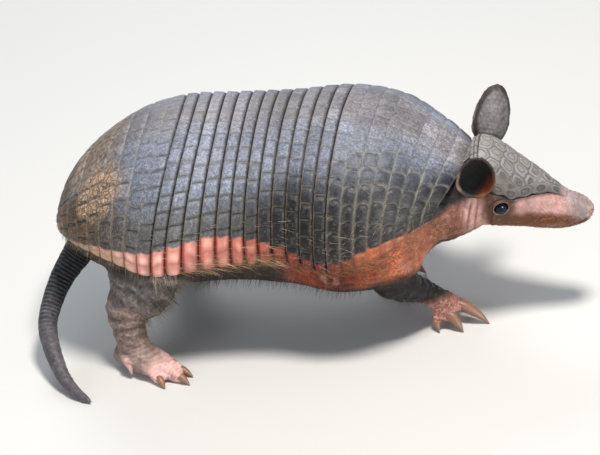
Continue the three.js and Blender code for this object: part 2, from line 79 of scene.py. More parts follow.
# How the horn darkens down the side by station, partly dirt and partly painted shade: angle where
# it starts, angle where it is done, what part of the light is left there, and how pale the horn is
# above, which is partly a painted sheen.
DARKENING = [
    [30, 70, 0.6, 1], [30, 70, 0.6, 1], [32, 46, 0.42, 1], [60, 74, 0.42, 0.95], [54, 80, 0.70, 1.06],
    [50, 78, 0.52, 1.30], [46, 77, 0.065, 0.97], [28, 80, 0.05, 1.1], [10, 76, 0.10, 1.2],
    [18, 68, 0.09, 1.6], [2, 46, 0.025, 2.4],
]
# Colour of the bare flesh at the shell's rim and on the flank under it, by station.
FLESH = [
    [0.34, 0.19, 0.16], [0.34, 0.19, 0.16], [0.42, 0.21, 0.17], [0.66, 0.33, 0.28], [0.78, 0.37, 0.31],
    [0.76, 0.29, 0.22], [0.34, 0.075, 0.036], [0.15, 0.021, 0.005], [0.55, 0.145, 0.055],
    [0.52, 0.17, 0.085], [0.27, 0.105, 0.066],
]
HORN_CROWN = (0.148, 0.139, 0.152)  # greyer along the midline
HORN_TOP_WITH_SHEEN = (0.152, 0.162, 0.202)  # grey-blue of the back, the blue partly a painted sheen of the sky
HORN_LOW = (0.153, 0.148, 0.145)  # the same with less blue, before it darkens
HORN_NAPE = (0.15, 0.14, 0.13)
RUMP_BROWN, RUMP_TAN = (0.088, 0.050, 0.027), (0.225, 0.165, 0.118)
RUMP_WORN, RUMP_OLIVE = (0.42, 0.28, 0.18), (0.27, 0.20, 0.10)
RIM_DUST, RIM_STRAW = (0.13, 0.085, 0.058), (0.52, 0.35, 0.21)


# ---- curves and patterns ------------------------------------------------------------------------
def spline(rows, u):
    """Smooth curve through rows at position u, the same one that shapes the solids."""
    rows, u = np.asarray(rows, float), np.asarray(u, float)
    last = len(rows) - 1
    i = np.clip(np.floor(u), 0, last - 1).astype(int)
    t = (u - i)[..., None]
    p1, p2 = rows[i], rows[i + 1]
    p0 = np.where((i > 0)[..., None], rows[np.maximum(i - 1, 0)], 2 * p1 - p2)
    p3 = np.where((i < last - 1)[..., None], rows[np.minimum(i + 2, last)], 2 * p2 - p1)
    return 0.5 * (2 * p1 + (p2 - p0) * t + (2 * p0 - 5 * p1 + 4 * p2 - p3) * t**2
                  + (3 * p1 - p0 - 3 * p2 + p3) * t**3)


def smooth(a, b, x):
    """Eases from 0 at a to 1 at b; a may be the larger."""
    t = np.clip((np.asarray(x, float) - a) / (b - a), 0, 1)
    return t * t * (3 - 2 * t)


def hump(centre, width, x):
    """1 at the centre, easing to 0 at width on either side."""
    return 1 - smooth(0, width, np.abs(np.asarray(x, float) - centre))


def wave(x, period, shift=0.0):
    return np.sin(x * TAU / period + shift)


def power(v, p):
    return np.sign(v) * np.abs(v) ** p


def length(v):
    return np.linalg.norm(v, axis=-1)


def unit(v):
    return v / np.maximum(np.linalg.norm(v, axis=-1, keepdims=True), 1e-9)


def stack(*parts):
    """Numbers and arrays of any shapes, side by side along a new last axis."""
    return np.stack(np.broadcast_arrays(*parts), -1)


def travelled(points):
    """Distance from the first point along a line to each of its points."""
    return np.concatenate([[0], np.cumsum(length(np.diff(points, axis=0)))])


def blend(colour, *layers):
    """Lays tones over a colour; each layer is a tone and how far it covers, 0 to 1."""
    for tone, mask in layers:
        colour = colour + (np.asarray(tone) - colour) * np.asarray(mask)[..., None]
    return colour


def shaded(colour, amount):
    """The colour made lighter by an amount, or darker where that is below 0."""
    return np.asarray(colour) * (1 + np.asarray(amount))[..., None]


def hashed(*whole):
    """A steady pseudo-random number from 0 to 1 for each set of whole numbers."""
    h = np.uint64(1469598103934665603)
    for n in np.broadcast_arrays(*whole):
        h = (h ^ (n.astype(np.int64).astype(np.uint64) + np.uint64(0x9E3779B9))) * np.uint64(1099511628211)
        h = h ^ (h >> np.uint64(29))
    return ((h >> np.uint64(11)) & np.uint64(0xFFFFF)).astype(float) / 0xFFFFF


def noise(p, size, seed=0):
    """Smooth noise from -1 to 1 at points p, with bumps about `size` across."""
    g = np.asarray(p, float) / size
    i = np.floor(g).astype(np.int64)
    f = g - i
    f = f * f * (3 - 2 * f)
    out = 0
    for corner in np.ndindex(*(2,) * g.shape[-1]):
        weight = np.prod([f[..., k] if c else 1 - f[..., k] for k, c in enumerate(corner)], axis=0)
        out = out + weight * hashed(*[i[..., k] + c for k, c in enumerate(corner)], np.int64(seed))
    return 2 * out - 1


def rough(p, size, seed=0):
    """Three octaves of noise, about -1 to 1."""
    return sum(0.5**k * noise(p, size / 2**k, seed + k) for k in range(3)) / 1.4


def cell_pattern(x, y, size, seed, jitter=0.7):
    """Distance to the nearest and next of scattered centres, over `size`, and a number per cell."""
    gx, gy = x / size, y / size
    ix, iy = np.floor(gx).astype(int), np.floor(gy).astype(int)
    first, second = np.full(x.shape, 9.0), np.full(x.shape, 9.0)
    which = np.zeros(x.shape)
    for ox, oy in np.ndindex(3, 3):
        cx, cy = ix + ox - 1, iy + oy - 1
        px = cx + 0.5 + (hashed(cx, cy, seed) - 0.5) * jitter + 0.5 * (cy % 2)
        py = cy + 0.5 + (hashed(cx, cy, seed + 1) - 0.5) * jitter
        d = np.hypot(gx - px + 0.25, gy - py)
        nearer = d < first
        second = np.where(nearer, first, np.minimum(second, d))
        which = np.where(nearer, hashed(cx, cy, seed + 2), which)
        first = np.minimum(first, d)
    return first, second, which


def bend(x, y, z):
    """Swings everything ahead of BEND_FROM round to the right."""
    k = BEND / (BEND_TO - BEND_FROM)
    s = np.clip(x - BEND_FROM, 0, BEND_TO - BEND_FROM)
    past, before, a = np.maximum(x - BEND_TO, 0), np.minimum(x - BEND_FROM, 0), k * s
    return stack(
        BEND_FROM + np.sin(a) / k + past * math.cos(BEND) + before + y * np.sin(a),
        -(1 - np.cos(a)) / k - past * math.sin(BEND) + y * np.cos(a),
        z,
    )


def shell_point(u, q):
    """Outer face of the shell at station u and angle q from the midline, left side positive."""
    u, q = np.broadcast_arrays(np.asarray(u, float), np.asarray(q, float))
    mx, mz, rx, ry, rz = np.moveaxis(spline(SHELL, u), -1, 0)
    drop = (1 - power(np.cos(q), FULLNESS)) / (1 - power(math.cos(ARCH), FULLNESS))
    rise = np.maximum(1 - drop, 0) ** (1 + (LEAN_POWER - 1) * smooth(1, 4, u))
    return bend(rx + (mx - rx) * rise, ry * power(np.sin(q), FULLNESS), mz + (rz - mz) * drop)


def shell_normal(u, q, d=0.02):
    along = shell_point(u + d, q) - shell_point(np.maximum(u - d, 0), q)
    across = shell_point(u, q + d) - shell_point(u, q - d)
    return unit(np.cross(along, across))


def head_frame(x, across, z):
    """From the head's own frame, x along it and across to its left, to the animal's."""
    c, s, dx = math.cos(HEAD_YAW), math.sin(HEAD_YAW), x - HEAD_AT[0]
    return stack(HEAD_AT[0] + dx * c - across * s, HEAD_AT[1] + dx * s + across * c, z)


# The frame's origin is under the middle of the animal: the left eye says how far off that is.
EYE_LOW, EYE_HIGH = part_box("eye_left")
SHIFT = np.array((EYE_LOW + EYE_HIGH) / 2) - head_frame(*EYE_AT) * MM


# ---- meshes -------------------------------------------------------------------------------------
def make_mesh(name, points, faces, marks=None):
    """A mesh object from points in millimetres, groups of faces and named colour marks."""
    mesh = bpy.data.meshes.new(name)
    mesh.vertices.add(len(points))
    mesh.vertices.foreach_set("co", (points * MM + SHIFT).astype(np.float32).ravel())
    corners = np.concatenate([group.ravel() for group in faces])
    sizes = np.concatenate([np.full(len(group), group.shape[1]) for group in faces])
    mesh.loops.add(len(corners))
    mesh.loops.foreach_set("vertex_index", corners.astype(np.int32))
    mesh.polygons.add(len(sizes))
    mesh.polygons.foreach_set("loop_start", np.concatenate([[0], np.cumsum(sizes)[:-1]]).astype(np.int32))
    mesh.update(calc_edges=True)
    for key, value in (marks or {}).items():
        set_mark(mesh, key, value)
    obj = bpy.data.objects.new(name, mesh)
    bpy.context.scene.collection.objects.link(obj)
    return obj


def set_mark(mesh, key, value):
    layer = mesh.attributes.new(key, "FLOAT_COLOR", "POINT")
    layer.data.foreach_set("color", np.asarray(value, np.float32).ravel())


def write_points(mesh, points):
    mesh.vertices.foreach_set("co", (points * MM + SHIFT).astype(np.float32).ravel())
    mesh.update()


def read(items, key, each, kind=np.float32):
    """One value or row of values for each vertex, edge or corner."""
    values = np.zeros(len(items) * each, kind)
    items.foreach_get(key, values)
    return values.reshape(-1, each)


def coordinates(mesh):
    """The mesh's points, in the shapes' own millimetres."""
    return (read(mesh.vertices, "co", 3).astype(float) - SHIFT) / MM


def grid_faces(rows, columns):
    """Quads over a grid of points whose rows each close on themselves."""
    r, c = np.arange(rows - 1)[:, None] * columns, np.arange(columns)[None, :]
    n = (c + 1) % columns
    return stack(r + c, r + n, r + columns + n, r + columns + c).reshape(-1, 4)


def signed_volume(points, faces):
    total = 0.0
    for group in faces:
        for k in range(1, group.shape[1] - 1):
            a, b, c = points[group[:, 0]], points[group[:, k]], points[group[:, k + 1]]
            total += np.einsum("ij,ij->i", a, np.cross(b, c)).sum()
    return total


def with_ends(rings):
    """The values of some rings as one list, then the mean of the first ring and of the last."""
    return np.concatenate([rings.reshape(-1, rings.shape[-1]), rings[:1].mean(1), rings[-1:].mean(1)])


def loft(rings):
    """Points and faces of a closed body over rings of points, with a fan at each end."""
    rows, columns = rings.shape[:2]
    points = with_ends(rings)
    around = np.arange(columns)
    after, base = (around + 1) % columns, (rows - 1) * columns
    first = stack(rows * columns, after, around)
    last = stack(rows * columns + 1, base + around, base + after)
    faces = [grid_faces(rows, columns), first, last]
    return points, ([f[:, ::-1] for f in faces] if signed_volume(points, faces) < 0 else faces)


def closed_loft(name, rings, **marks):
    return make_mesh(name, *loft(rings), {key: with_ends(value) for key, value in marks.items()})


def apply_modifier(obj, kind, **settings):
    modifier = obj.modifiers.new(kind, kind)
    for key, value in settings.items():
        setattr(modifier, key, value)
    evaluated = obj.evaluated_get(bpy.context.evaluated_depsgraph_get())
    mesh = bpy.data.meshes.new_from_object(evaluated)
    obj.modifiers.clear()
    old, obj.data = obj.data, mesh
    bpy.data.meshes.remove(old)


def cut_with(obj, rings, operation):
    """Cuts the closed body over some rings out of the object, or joins it on."""
    tool = make_mesh("tool", *loft(rings))
    apply_modifier(obj, "BOOLEAN", object=tool, operation=operation, solver="MANIFOLD")
    bpy.data.objects.remove(tool)


def finish_piece(obj, slot, material, *nodes):
    """Smooth, in its one material, riding the one body, with the solids it stands for.
    Its slot is not used.
    """
    mesh = obj.data
    mesh.materials.clear()
    mesh.materials.append(material)
    mesh.polygons.foreach_set("material_index", np.zeros(len(mesh.polygons), np.int32))
    mesh.polygons.foreach_set("use_smooth", np.ones(len(mesh.polygons), bool))
    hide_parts(*nodes)
    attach(obj, "root")


# ---- shell --------------------------------------------------------------------------------------
ROW_CUTS = np.array([0, 0.03, 0.07, 0.12, 0.2, 0.32, 0.45, 0.58, 0.7, 0.8, 0.88, 0.93, 0.97])
ACROSS = 480  # columns over the arch, about 0.6 mm each
PLATE_PITCH = 12.8  # from one small plate to the next, down a band
RIM_ROLL = 1.9  # radius of the shell's rounded lower edge
RIM_RADIUS = 85  # the arch's radius toward the rim, roughly
ARC_ANGLES = np.linspace(0, ARCH, 120)
# Sections of the hind and fore edges: steps from the edge in stations, and heights.
OVERLAPPING_EDGE = [(0.06, -1.5), (0.012, -1.45), (-0.004, -1.05), (-0.006, -0.4)]
RUMP_EDGE = [(0.01, -3.6), (-0.02, -2.4), (-0.015, -1.0)]
OVERLAPPED_EDGE = [(0.01, -1.75), (0.045, -1.85), (0.055, -2.5), (0.05, -3.4), (0, -3.95)]
NAPE_EDGE = [(0.015, -1.0), (0.02, -2.4), (0.0, -3.6)]


def even_rows(start, end, count):
    """Row edges between two stations, evenly spaced over the flank."""
    u = np.linspace(start, end, 200)
    along = travelled(shell_point(u, math.radians(55)))
    return np.interp(np.linspace(0, along[-1], count + 1), along, u)


def rounded_box(x, y, half_x, half_y, corner):
    """Distance in from the edge of a rounded rectangle, negative outside."""
    dx, dy = np.abs(x) - (half_x - corner), np.abs(y) - (half_y - corner)
    outside = np.hypot(np.maximum(dx, 0), np.maximum(dy, 0)) + np.minimum(np.maximum(dx, dy), 0)
    return corner - outside


def rolled(distance, radius):
    """How far a face falls away, this far in from an edge that is rounded to the radius."""
    return radius - np.sqrt(np.maximum(radius**2 - np.maximum(radius - distance, 0) ** 2, 0))


def horn_colour(u, q):
    """Colour of the plates, paler above with a painted sheen and darker toward the rim with dirt and
    painted shade, and how worn they are.
    """
    angle = np.degrees(np.abs(q))
    start, done, left, gain = np.moveaxis(spline(DARKENING, np.clip(u, 0, 10)), -1, 0)
    place = stack(u * STATION_LENGTH, q * ARCH_RADIUS)
    patchy, blot = rough(place, 22.0, 201), rough(place, 9.0, 211)
    colour = np.zeros(np.shape(u) + (3,)) + HORN_CROWN
    # the blue of the back is partly a painted sheen of the sky
    colour = blend(colour, (HORN_TOP_WITH_SHEEN, smooth(8, 26, angle + 4 * patchy)), (HORN_LOW, smooth(55, 80, angle)))
    # paler above: partly a painted sheen
    colour = colour * gain[..., None]
    rear = smooth(3.3, 2.3, u + 0.25 * patchy)
    colour = blend(colour, (RUMP_TAN, rear * smooth(1.3, 1.9, u) * smooth(44, 30, angle)),
                   (RUMP_BROWN, rear * np.maximum(smooth(1.9, 1.4, u), smooth(34, 46, angle))))
    colour = shaded(colour, -0.45 * smooth(2.4, 1.6, u) * smooth(84, 92, angle))
    # darker down the side: dirt and painted shade
    fall = smooth(start, done, angle + 5 * patchy) * (1 - rear)
    colour = colour * (np.clip(left, 0.02, 1) ** fall)[..., None]
    right = 0.35 + 0.65 * (q < 0)
    worn = np.hypot((u - 2.55) / 0.62, (angle - 47) / 24) + 0.28 * blot
    olive = smooth(1.6, 1.2, u + 0.2 * blot) * smooth(58, 68, angle) * smooth(96, 86, angle)
    colour = blend(colour, (HORN_NAPE, smooth(9.6, 9.95, u) * smooth(24, 10, angle)),
                   (RUMP_WORN, right * smooth(1.05, 0.62, worn)), (RUMP_OLIVE, 0.8 * olive))
    return shaded(colour, 0.16 * patchy + 0.12 * blot), smooth(1.1, 0.7, worn) * right


class Row:
    """One row of small plates: where its points lie down the side, and how it looks there."""

    def __init__(self, u, w, q, number, edges, kind):
        self.u, self.w, self.q, self.number, self.edges, self.kind = u, w, q, number, edges, kind
        self.band = kind == "band"
        self.middle = (edges[0] + edges[1]) / 2
        self.lengths = travelled(shell_point(self.middle, ARC_ANGLES))
        past_rim = np.maximum(np.abs(q) - ARCH, 0) * ARCH_RADIUS
        self.s = np.interp(np.abs(q), ARC_ANGLES, self.lengths) + past_rim
        self.s_dark = np.interp(math.radians(spline(PINK_FROM, self.middle)[0]), ARC_ANGLES, self.lengths)
        self.s_rim = self.lengths[-1]
        self.down = self.s / self.s_rim
        self.place = stack(u * STATION_LENGTH, self.s)
        ragged = self.s - self.s_dark + 1.1 * noise(self.place * [1, 0.2], 3.0, 9)
        self.pink = smooth(-0.6, 1.0, ragged)

    def horn(self):
        """Height, seams, pits painted with shade, wear and colour of the small plates."""
        s, w, q, row, down = self.s, self.w, self.q, self.number, self.down
        width = length(shell_point(self.edges[1], q) - shell_point(self.edges[0], q))
        count = round(self.s_dark / PLATE_PITCH)
        pitch = self.s_dark / count
        uneven = 0.16 * noise(stack(s / 14.0, row), 1.0, 17)
        offset, corner, wobbly = 0.5 * (row % 2), 2.6, 0.5
        if self.band:
            uneven = 0.0
            offset, corner, wobbly = float(hashed(row, 11)), 1.0, 0.14
        arched = 2.1 * smooth(0.25, 0.6, down) if self.kind == "front" else 0.5
        t = (self.s_dark - s + arched * (2 * w - 1) ** 2) / pitch + offset + uneven
        k = np.floor(t)
        b = t - k
        side = np.where(q < 0, 0, 1) * (k < count + offset - 1)
        tilt, tone, deep = [hashed(k + 40, row, side, n) for n in (1, 2, 3)]
        deep = 0.75 + 0.5 * deep
        inside = rounded_box((w - 0.5) * width, (b - 0.5) * pitch, width / 2, pitch / 2, corner)
        inside = inside + wobbly * noise(self.place, 4.5, 5 + row)
        above, below = (1 - b) * pitch, b * pitch

        lower = smooth(0.12, 0.6, down)
        crease = 1 - smooth(0.0, 0.45, inside)
        scoop = smooth(0.35, 0.8, inside) * (1 - smooth(1.0, 5.0, above)) * deep * (0.45 + 0.55 * lower)
        lip = (1 - smooth(0.3, 2.6, below)) * smooth(0.0, 0.6, inside)
        height = 0.45 * smooth(0, 4, inside) - 0.45 * crease - 0.7 * scoop + 0.3 * lip + 0.25 * (tilt - 0.5)
        thin = 1.0 if self.band else smooth(-0.9, -0.2, inside)
        seam = (1 - smooth(0.15, 0.6, inside)) * (0.3 + 0.7 * lower) * (0.45 + 0.55 * thin)
        # painted shade in the hollow under each plate's upper edge, stronger low down
        pit_shade = smooth(0.25, 0.6, inside) * (1 - smooth(0.7, 3.4, above)) * deep * (0.35 + 0.65 * lower)

        hide, worn = horn_colour(self.u, q)
        hide = shaded(hide, 0.35 * (tone - 0.5))
        if self.kind == "front":
            hide = hide * (1 - smooth(0.45, 0.75, down)[..., None] * [0.16, 0.21, 0.26])
        margin = smooth(2.0, 0.5, inside) * smooth(0.10, 0.3, down)
        if self.band:
            hide = shaded(hide, -0.22 * margin * smooth(0.35, 0.6, b))
        else:
            hide = blend(hide, (hide * 0.62 + 0.06, 0.75 * margin * (1 - self.pink)))
        return height, seam, pit_shade, worn, hide

    def flesh(self):
        """Height, gaps and colour of the pink lobes at the rim, one to a band; painted highlights on
        each lobe's two cushions, painted shade in its middle fold, at its sides and in the gaps.
        """
        w, down, middle, place = self.w, self.down, self.middle, self.place
        edge = np.minimum(w, 1 - w)
        flat, lobed = 1.0, 1.0
        if not self.band:
            flat, lobed = 0.5, 0.7 * smooth(2.0, 3.0, middle) * (1 - smooth(4, 5, middle)) + 0.2
        lobe = lobed * (flat * (1 - np.abs(2 * w - 1) ** 2.6) - 0.9 * (1 - smooth(0, 0.14 * flat, edge)))
        gap_shade = (1 - smooth(0.03, 0.03 + 0.14 * flat, edge)) * self.pink * lobed
        folds = 0.30 * noise(stack(self.u * 10, self.s), 2.4, 21)
        part = (self.s - self.s_dark) / max(self.s_rim - self.s_dark, 1)
        part = part + 0.12 * noise(place, 6.0, 31) + 0.2 * (float(hashed(self.number, 35)) - 0.5)
        fold = hump(0.52, 0.11, part) * lobed
        # painted highlights on the lobe's upper and lower cushions, fading to painted shade at its sides
        lit_cushion = np.maximum(hump(0.26, 0.24, part), 0.85 * hump(0.80, 0.22, part))
        lit_cushion = lit_cushion * smooth(0.08, 0.42, edge)

        mottle = 0.16 * noise(place, 5.0, 23) + 0.14 * noise(place * [1, 0.35], 1.6, 27)
        flesh = shaded(spline(FLESH, np.clip(self.u, 0, 10)), mottle - 0.2 * smooth(0.9, 1, down))
        flesh = blend(flesh, (flesh * [0.72, 0.5, 0.46], smooth(0.3, 0.75, noise(place, 3.2, 29)) * 0.6))
        # the lit cushions and the shaded middle fold painted into the colour
        flesh = flesh * (0.78 + 0.62 * lit_cushion - 0.10 * fold)[..., None] ** [0.7, 1.15, 1.2]
        dusty = smooth(3.6, 1.6, middle) * smooth(-0.45, 0.35, noise(place, 4.0, 33))
        straw_edge = smooth(0.86, 0.97, down) * smooth(3.8, 3.2, middle) * smooth(1.4, 2.0, middle)
        flesh = blend(flesh, (RIM_DUST, 0.85 * dusty), (RIM_STRAW, 0.6 * straw_edge))
        return lobe - 0.1 + folds - 0.3 * fold, gap_shade, flesh

    def dressed(self):
        """Height over the shell in millimetres, then the marks, zones and colour its material reads."""
        height, seam, pit_shade, worn, hide = self.horn()
        lobes, gap_shade, flesh = self.flesh()
        horny = 1 - self.pink
        height = height * horny + lobes * self.pink
        marks = stack(seam * horny, pit_shade * horny, 0, 0)
        zones = stack(self.pink, gap_shade, worn, 0)
        hide = blend(hide, (flesh, self.pink))
        return height, marks, zones, np.concatenate([hide, self.down[..., None]], -1)


def shell_piece(name, node, start, end, rows, first_row, kind):
    """A length of shell: its outer face carries plates, each hind edge lies over what is behind."""
    edges = even_rows(start, end, rows) if rows > 1 else np.array([start, end])
    spans = np.diff(edges)
    us = np.concatenate([edges[i] + spans[i] * ROW_CUTS for i in range(rows)] + [[end]])
    rows_at = np.concatenate([np.full(len(ROW_CUTS), i) for i in range(rows)] + [[rows - 1]])
    ws = (us - edges[rows_at]) / spans[rows_at]
    overlapped, overlapping = kind != "front", kind != "rear"
    hind = [(start + step, level) for step, level in (OVERLAPPING_EDGE if overlapping else RUMP_EDGE)]
    fore = [(end + step, level) for step, level in (OVERLAPPED_EDGE if overlapped else NAPE_EDGE)]
    inner = [(u, -PLATE) for u in np.linspace(end - 0.02, start + 0.07, max(3, 2 * rows))]
    section = np.array(hind + [(u, 0) for u in us] + fore + inner)
    first, past = len(hind), len(hind) + len(us)
    outer = slice(first, past)

    v = np.linspace(-1, 1, ACROSS)[:, None]
    scallop = 0.022 if kind == "band" else 0.008
    trim = np.full(len(section), scallop)
    trim[outer] = scallop * np.abs(2 * ws - 1) ** 2.4
    q = v * (ARCH - trim)
    u, height = [np.broadcast_to(values, q.shape).copy() for values in section.T]
    looks = [np.zeros(q.shape + (4,)) for _ in range(3)]
    marks, zones, hide = looks
    for i in range(rows):
        at = first + np.flatnonzero(rows_at == i)
        w = np.broadcast_to(ws[at - first], q[:, at].shape)
        lift, *values = Row(u[:, at], w, q[:, at], first_row + i, edges[i:i + 2], kind).dressed()
        height[:, at] += lift
        for look, value in zip(looks, values):
            look[:, at] = value
    # The hind edge stands a little proud and the fore edge dips under the piece ahead.
    from_start, from_end = (us - start) * STATION_LENGTH, (end - us) * STATION_LENGTH
    if overlapping:
        height[:, outer] += 0.55 * (1 - smooth(0, 6.0, from_start))
        zones[:, outer, 3] = (1 - smooth(0.2, 0.9, from_start)) * smooth(4.9, 5.8, start)
    if overlapped:
        height[:, outer] += -1.5 * (1 - smooth(0, 3.6, from_end))
        # the fore edge is marked for painted shadow, with some dirt, where it dips under the piece ahead
        marks[:, outer, 3] = 1 - smooth(1.1, 2.9, from_end)
    for look in looks:
        look[:, :first] = look[:, first:first + 1]
        look[:, past:] = look[:, past - 1:past]
    # the inner face is marked for painted shade as well
    marks[:, past:, 3] = 1
    roll = rolled((1 - np.abs(v)) * ARCH * RIM_RADIUS, RIM_ROLL)
    height += np.where(np.arange(len(section)) < past + len(fore), -roll, roll)
    points = shell_point(u, q)
    height += 0.35 * noise(points, 26.0, 3)
    points = points + shell_normal(u, q) * height[..., None]
    obj = closed_loft(name, points, marks=marks, zones=zones, hide=hide)
    finish_piece(obj, "shell", shell_material, node)


def build_shell():
    shell_piece("shell_pelvic", "pelvic_shield", PELVIC_START, PELVIC_END, 11, 0, "rear")
    step = (BANDS_END - PELVIC_END) / MOVABLE_BANDS
    for i in range(MOVABLE_BANDS):
        start = PELVIC_END + i * step
        shell_piece(f"shell_band_{i + 1:02d}", f"band_{i + 1:02d}", start, start + step, 1, 20 + i, "band")
    shell_piece("shell_scapular", "scapular_shield", BANDS_END, SHELL_END, 8, 40, "front")


# ---- flesh: shapes ------------------------------------------------------------------------------
# Underside at the shell's stations: lowest z, and how square the flank is below the rim.
BELLY = [
    [80, 1.2], [74, 1.3], [66, 1.3], [59, 1.25], [55, 1.2], [53, 1.1],
    [50, 0.85], [48, 0.62], [49, 0.55], [58, 0.6], [72, 0.75],
]
# Head sections from the nape to the nose: x, top z, bottom z, half width.
HEAD = [
    [136, 147, 88, 26], [142, 149, 84, 30], [150, 147, 82.5, 30.5], [158, 142.5, 81.5, 28],
    [166, 136, 80.5, 24.5], [175, 129, 79, 21], [185, 121, 77.5, 18], [195, 111.5, 76.5, 15.5],
    [203, 104.5, 77, 13.6], [211, 101, 79, 12], [217, 97.5, 81.5, 9.5], [221, 93.5, 85, 5],
]
HEAD_LAST = len(HEAD) - 1
HEAD_STATIONS = np.linspace(0, HEAD_LAST, 300)
HEAD_XS = spline(HEAD, HEAD_STATIONS)[:, 0]
HEAD_SQUARE_ACROSS, HEAD_SQUARE_UP = 0.9, 0.92
# Limb paths: x, y, z, radius across, radius fore and aft (for the neck and tail, half height).
NECK = [
    [104, -10, 104, 48, 38], [118, -12.5, 104.5, 43, 32], [130, -15, 110, 35, 31],
    [142, -17.5, 116, 29, 31],
]
TAIL = [
    [-158, -1, 82, 13.5, 13], [-166.5, -3, 74, 13, 12.5], [-176.5, -8.5, 63, 11, 11],
    [-186, -20, 52, 9.3, 9.3], [-192, -37, 41, 8.2, 8.2], [-193.5, -55, 32, 7.6, 7.6],
    [-188, -73, 22, 6.9, 6.9], [-179, -91, 12, 5.8, 5.8], [-168, -104.5, 5, 4.8, 5.1],
    [-157, -113.5, 2.8, 3.1, 3.2], [-151.5, -117, 1.9, 1.3, 1.7],
]
HIND = [
    [-108, -42, 98, 24, 34], [-111, -49, 79, 23, 31], [-117, -56, 61, 20, 25], [-127, -62, 47, 15.5, 17.5],
    [-128, -66.5, 33, 12, 12.6], [-125, -70, 18, 10.5, 11.8],
]
FORE = [
    [80, -46, 98, 20, 24], [75, -51, 76, 20, 22], [72, -52, 58, 16, 17.5], [80, -47, 46, 12, 13.5],
    [91, -37, 35, 8.8, 10], [101, -30.5, 26, 6.8, 7.4],
]
HIND_FOOT = [
    [-140, -63, 7.5, 5.5, 5.8], [-134, -66, 11, 9.5, 10.5], [-123, -71.5, 12, 12, 12],
    [-111, -78, 9.5, 13, 9], [-104, -82, 7.5, 11, 7],
]
FORE_FOOT = [
    [98, -32.5, 24.5, 5.5, 6.5], [102, -30, 22, 9, 7.5], [108, -28, 18.5, 10.5, 7],
    [113, -27.5, 16, 8.5, 5.5],
]
# Digits, innermost first: knuckle, fingertip, its radius, then the claw: tip, half width, half height.
HIND_DIGITS = [
    [(-112, -67, 8), (-101, -70, 4.9), 4.4, (-92, -73, 0.6), 2.5, 2.6],
    [(-106, -76, 8), (-91.5, -81.5, 4.8), 4.8, (-81.5, -86.5, 0.6), 2.9, 3.0],
    [(-106, -82, 8.5), (-91.5, -91, 4.8), 5.0, (-82.5, -97, 0.6), 3.0, 3.2],
    [(-113, -82, 9), (-106.5, -92, 4.8), 4.8, (-100.5, -100.5, 0.6), 3.0, 3.2],
    [(-126, -75, 15), (-130, -79.5, 13.5), 5.0, (-127.5, -85, 4.5), 3.2, 3.4],
]
FORE_DIGITS = [
    [(103, -23, 17), (105, -17, 11), 3.6, (111, -11.5, 0.6), 2.2, 2.6],
    [(108, -23, 17), (113, -18, 12.5), 4.2, (126, -12.5, 0.6), 2.9, 3.5],
    [(109, -27, 18), (116, -27.5, 14.5), 5.6, (138, -33, 0.8), 4.6, 5.4],
    [(106, -32, 17), (109, -36, 11.5), 5.0, (119, -43, 0.7), 3.8, 4.6],
    [(102, -34, 17), (99.5, -37.5, 8), 4.4, (101, -42.5, 0.6), 2.4, 2.8],
]
TRUNK_STATIONS = (0.5, 9.92)  # the shell's stations where the trunk starts and ends
TRUNK_CHORD = math.radians(72)  # inside the shell the trunk is cut off across this angle
SKIN_DEPTH = 1.7  # from the inside of the shell down to the skin
EAR_WIDE, EAR_DEEP, EAR_THICK = 13, 10.5, 1.5  # half width, depth of the cup, thickness of its wall
# Bottom and middle of the opening and deepest place of the cup, as parts of the ear's length.
EAR_LOW, EAR_MIDDLE, EAR_DEEPEST = 0.1, 0.47, 0.33


class Leg:
    """The right-hand pattern leg carried to where this one stands, its foot moved and turned out."""

    def __init__(self, name, side, shift=0, spread=0):
        self.name, self.hind = name, name.startswith("hind")
        limb, foot, digits = (HIND, HIND_FOOT, HIND_DIGITS) if self.hind else (FORE, FORE_FOOT, FORE_DIGITS)
        parts = ("thigh", "shank", "foot") if self.hind else ("upper_arm", "forearm", "hand")
        self.nodes = [f"{name}_{part}" for part in parts]
        hip = limb[0][2]

        def move(row):
            x, y, z, *rest = row
            fall = 1 - min(z, hip) / hip
            return [x + shift * fall, side * -(y - spread * fall), z, *rest]

        self.limb, self.foot = [move(row) for row in limb], [move(row) for row in foot]
        self.ankle = np.array(self.foot[2][:3])
        self.digits = [[np.array(move(part)) if isinstance(part, tuple) else part for part in digit]
                       for digit in digits]

    def bodies(self):
        yield limb_rings(self.limb, 48, 8, up=(1, 0, 0), round_end=True)
        yield limb_rings(self.foot, 40, 8, round_start=True, round_end=True)
        for knuckle, tip, radius, *_ in self.digits:
            rows = [[*(knuckle + (tip - knuckle) * t), radius * r, radius * r]
                    for t, r in ((0, 0.95), (0.45, 0.93), (0.85, 1), (1.1, 0.86))]
            yield limb_rings(rows, 24, 5, round_start=True, round_end=True)


# Name, side, and how far the foot is carried forward and outward.
LEGS = [Leg("hind_right", -1), Leg("hind_left", 1, 26), Leg("fore_right", -1), Leg("fore_left", 1, -52, 12)]


def ring_angles(count):
    return np.arange(count) / count * TAU


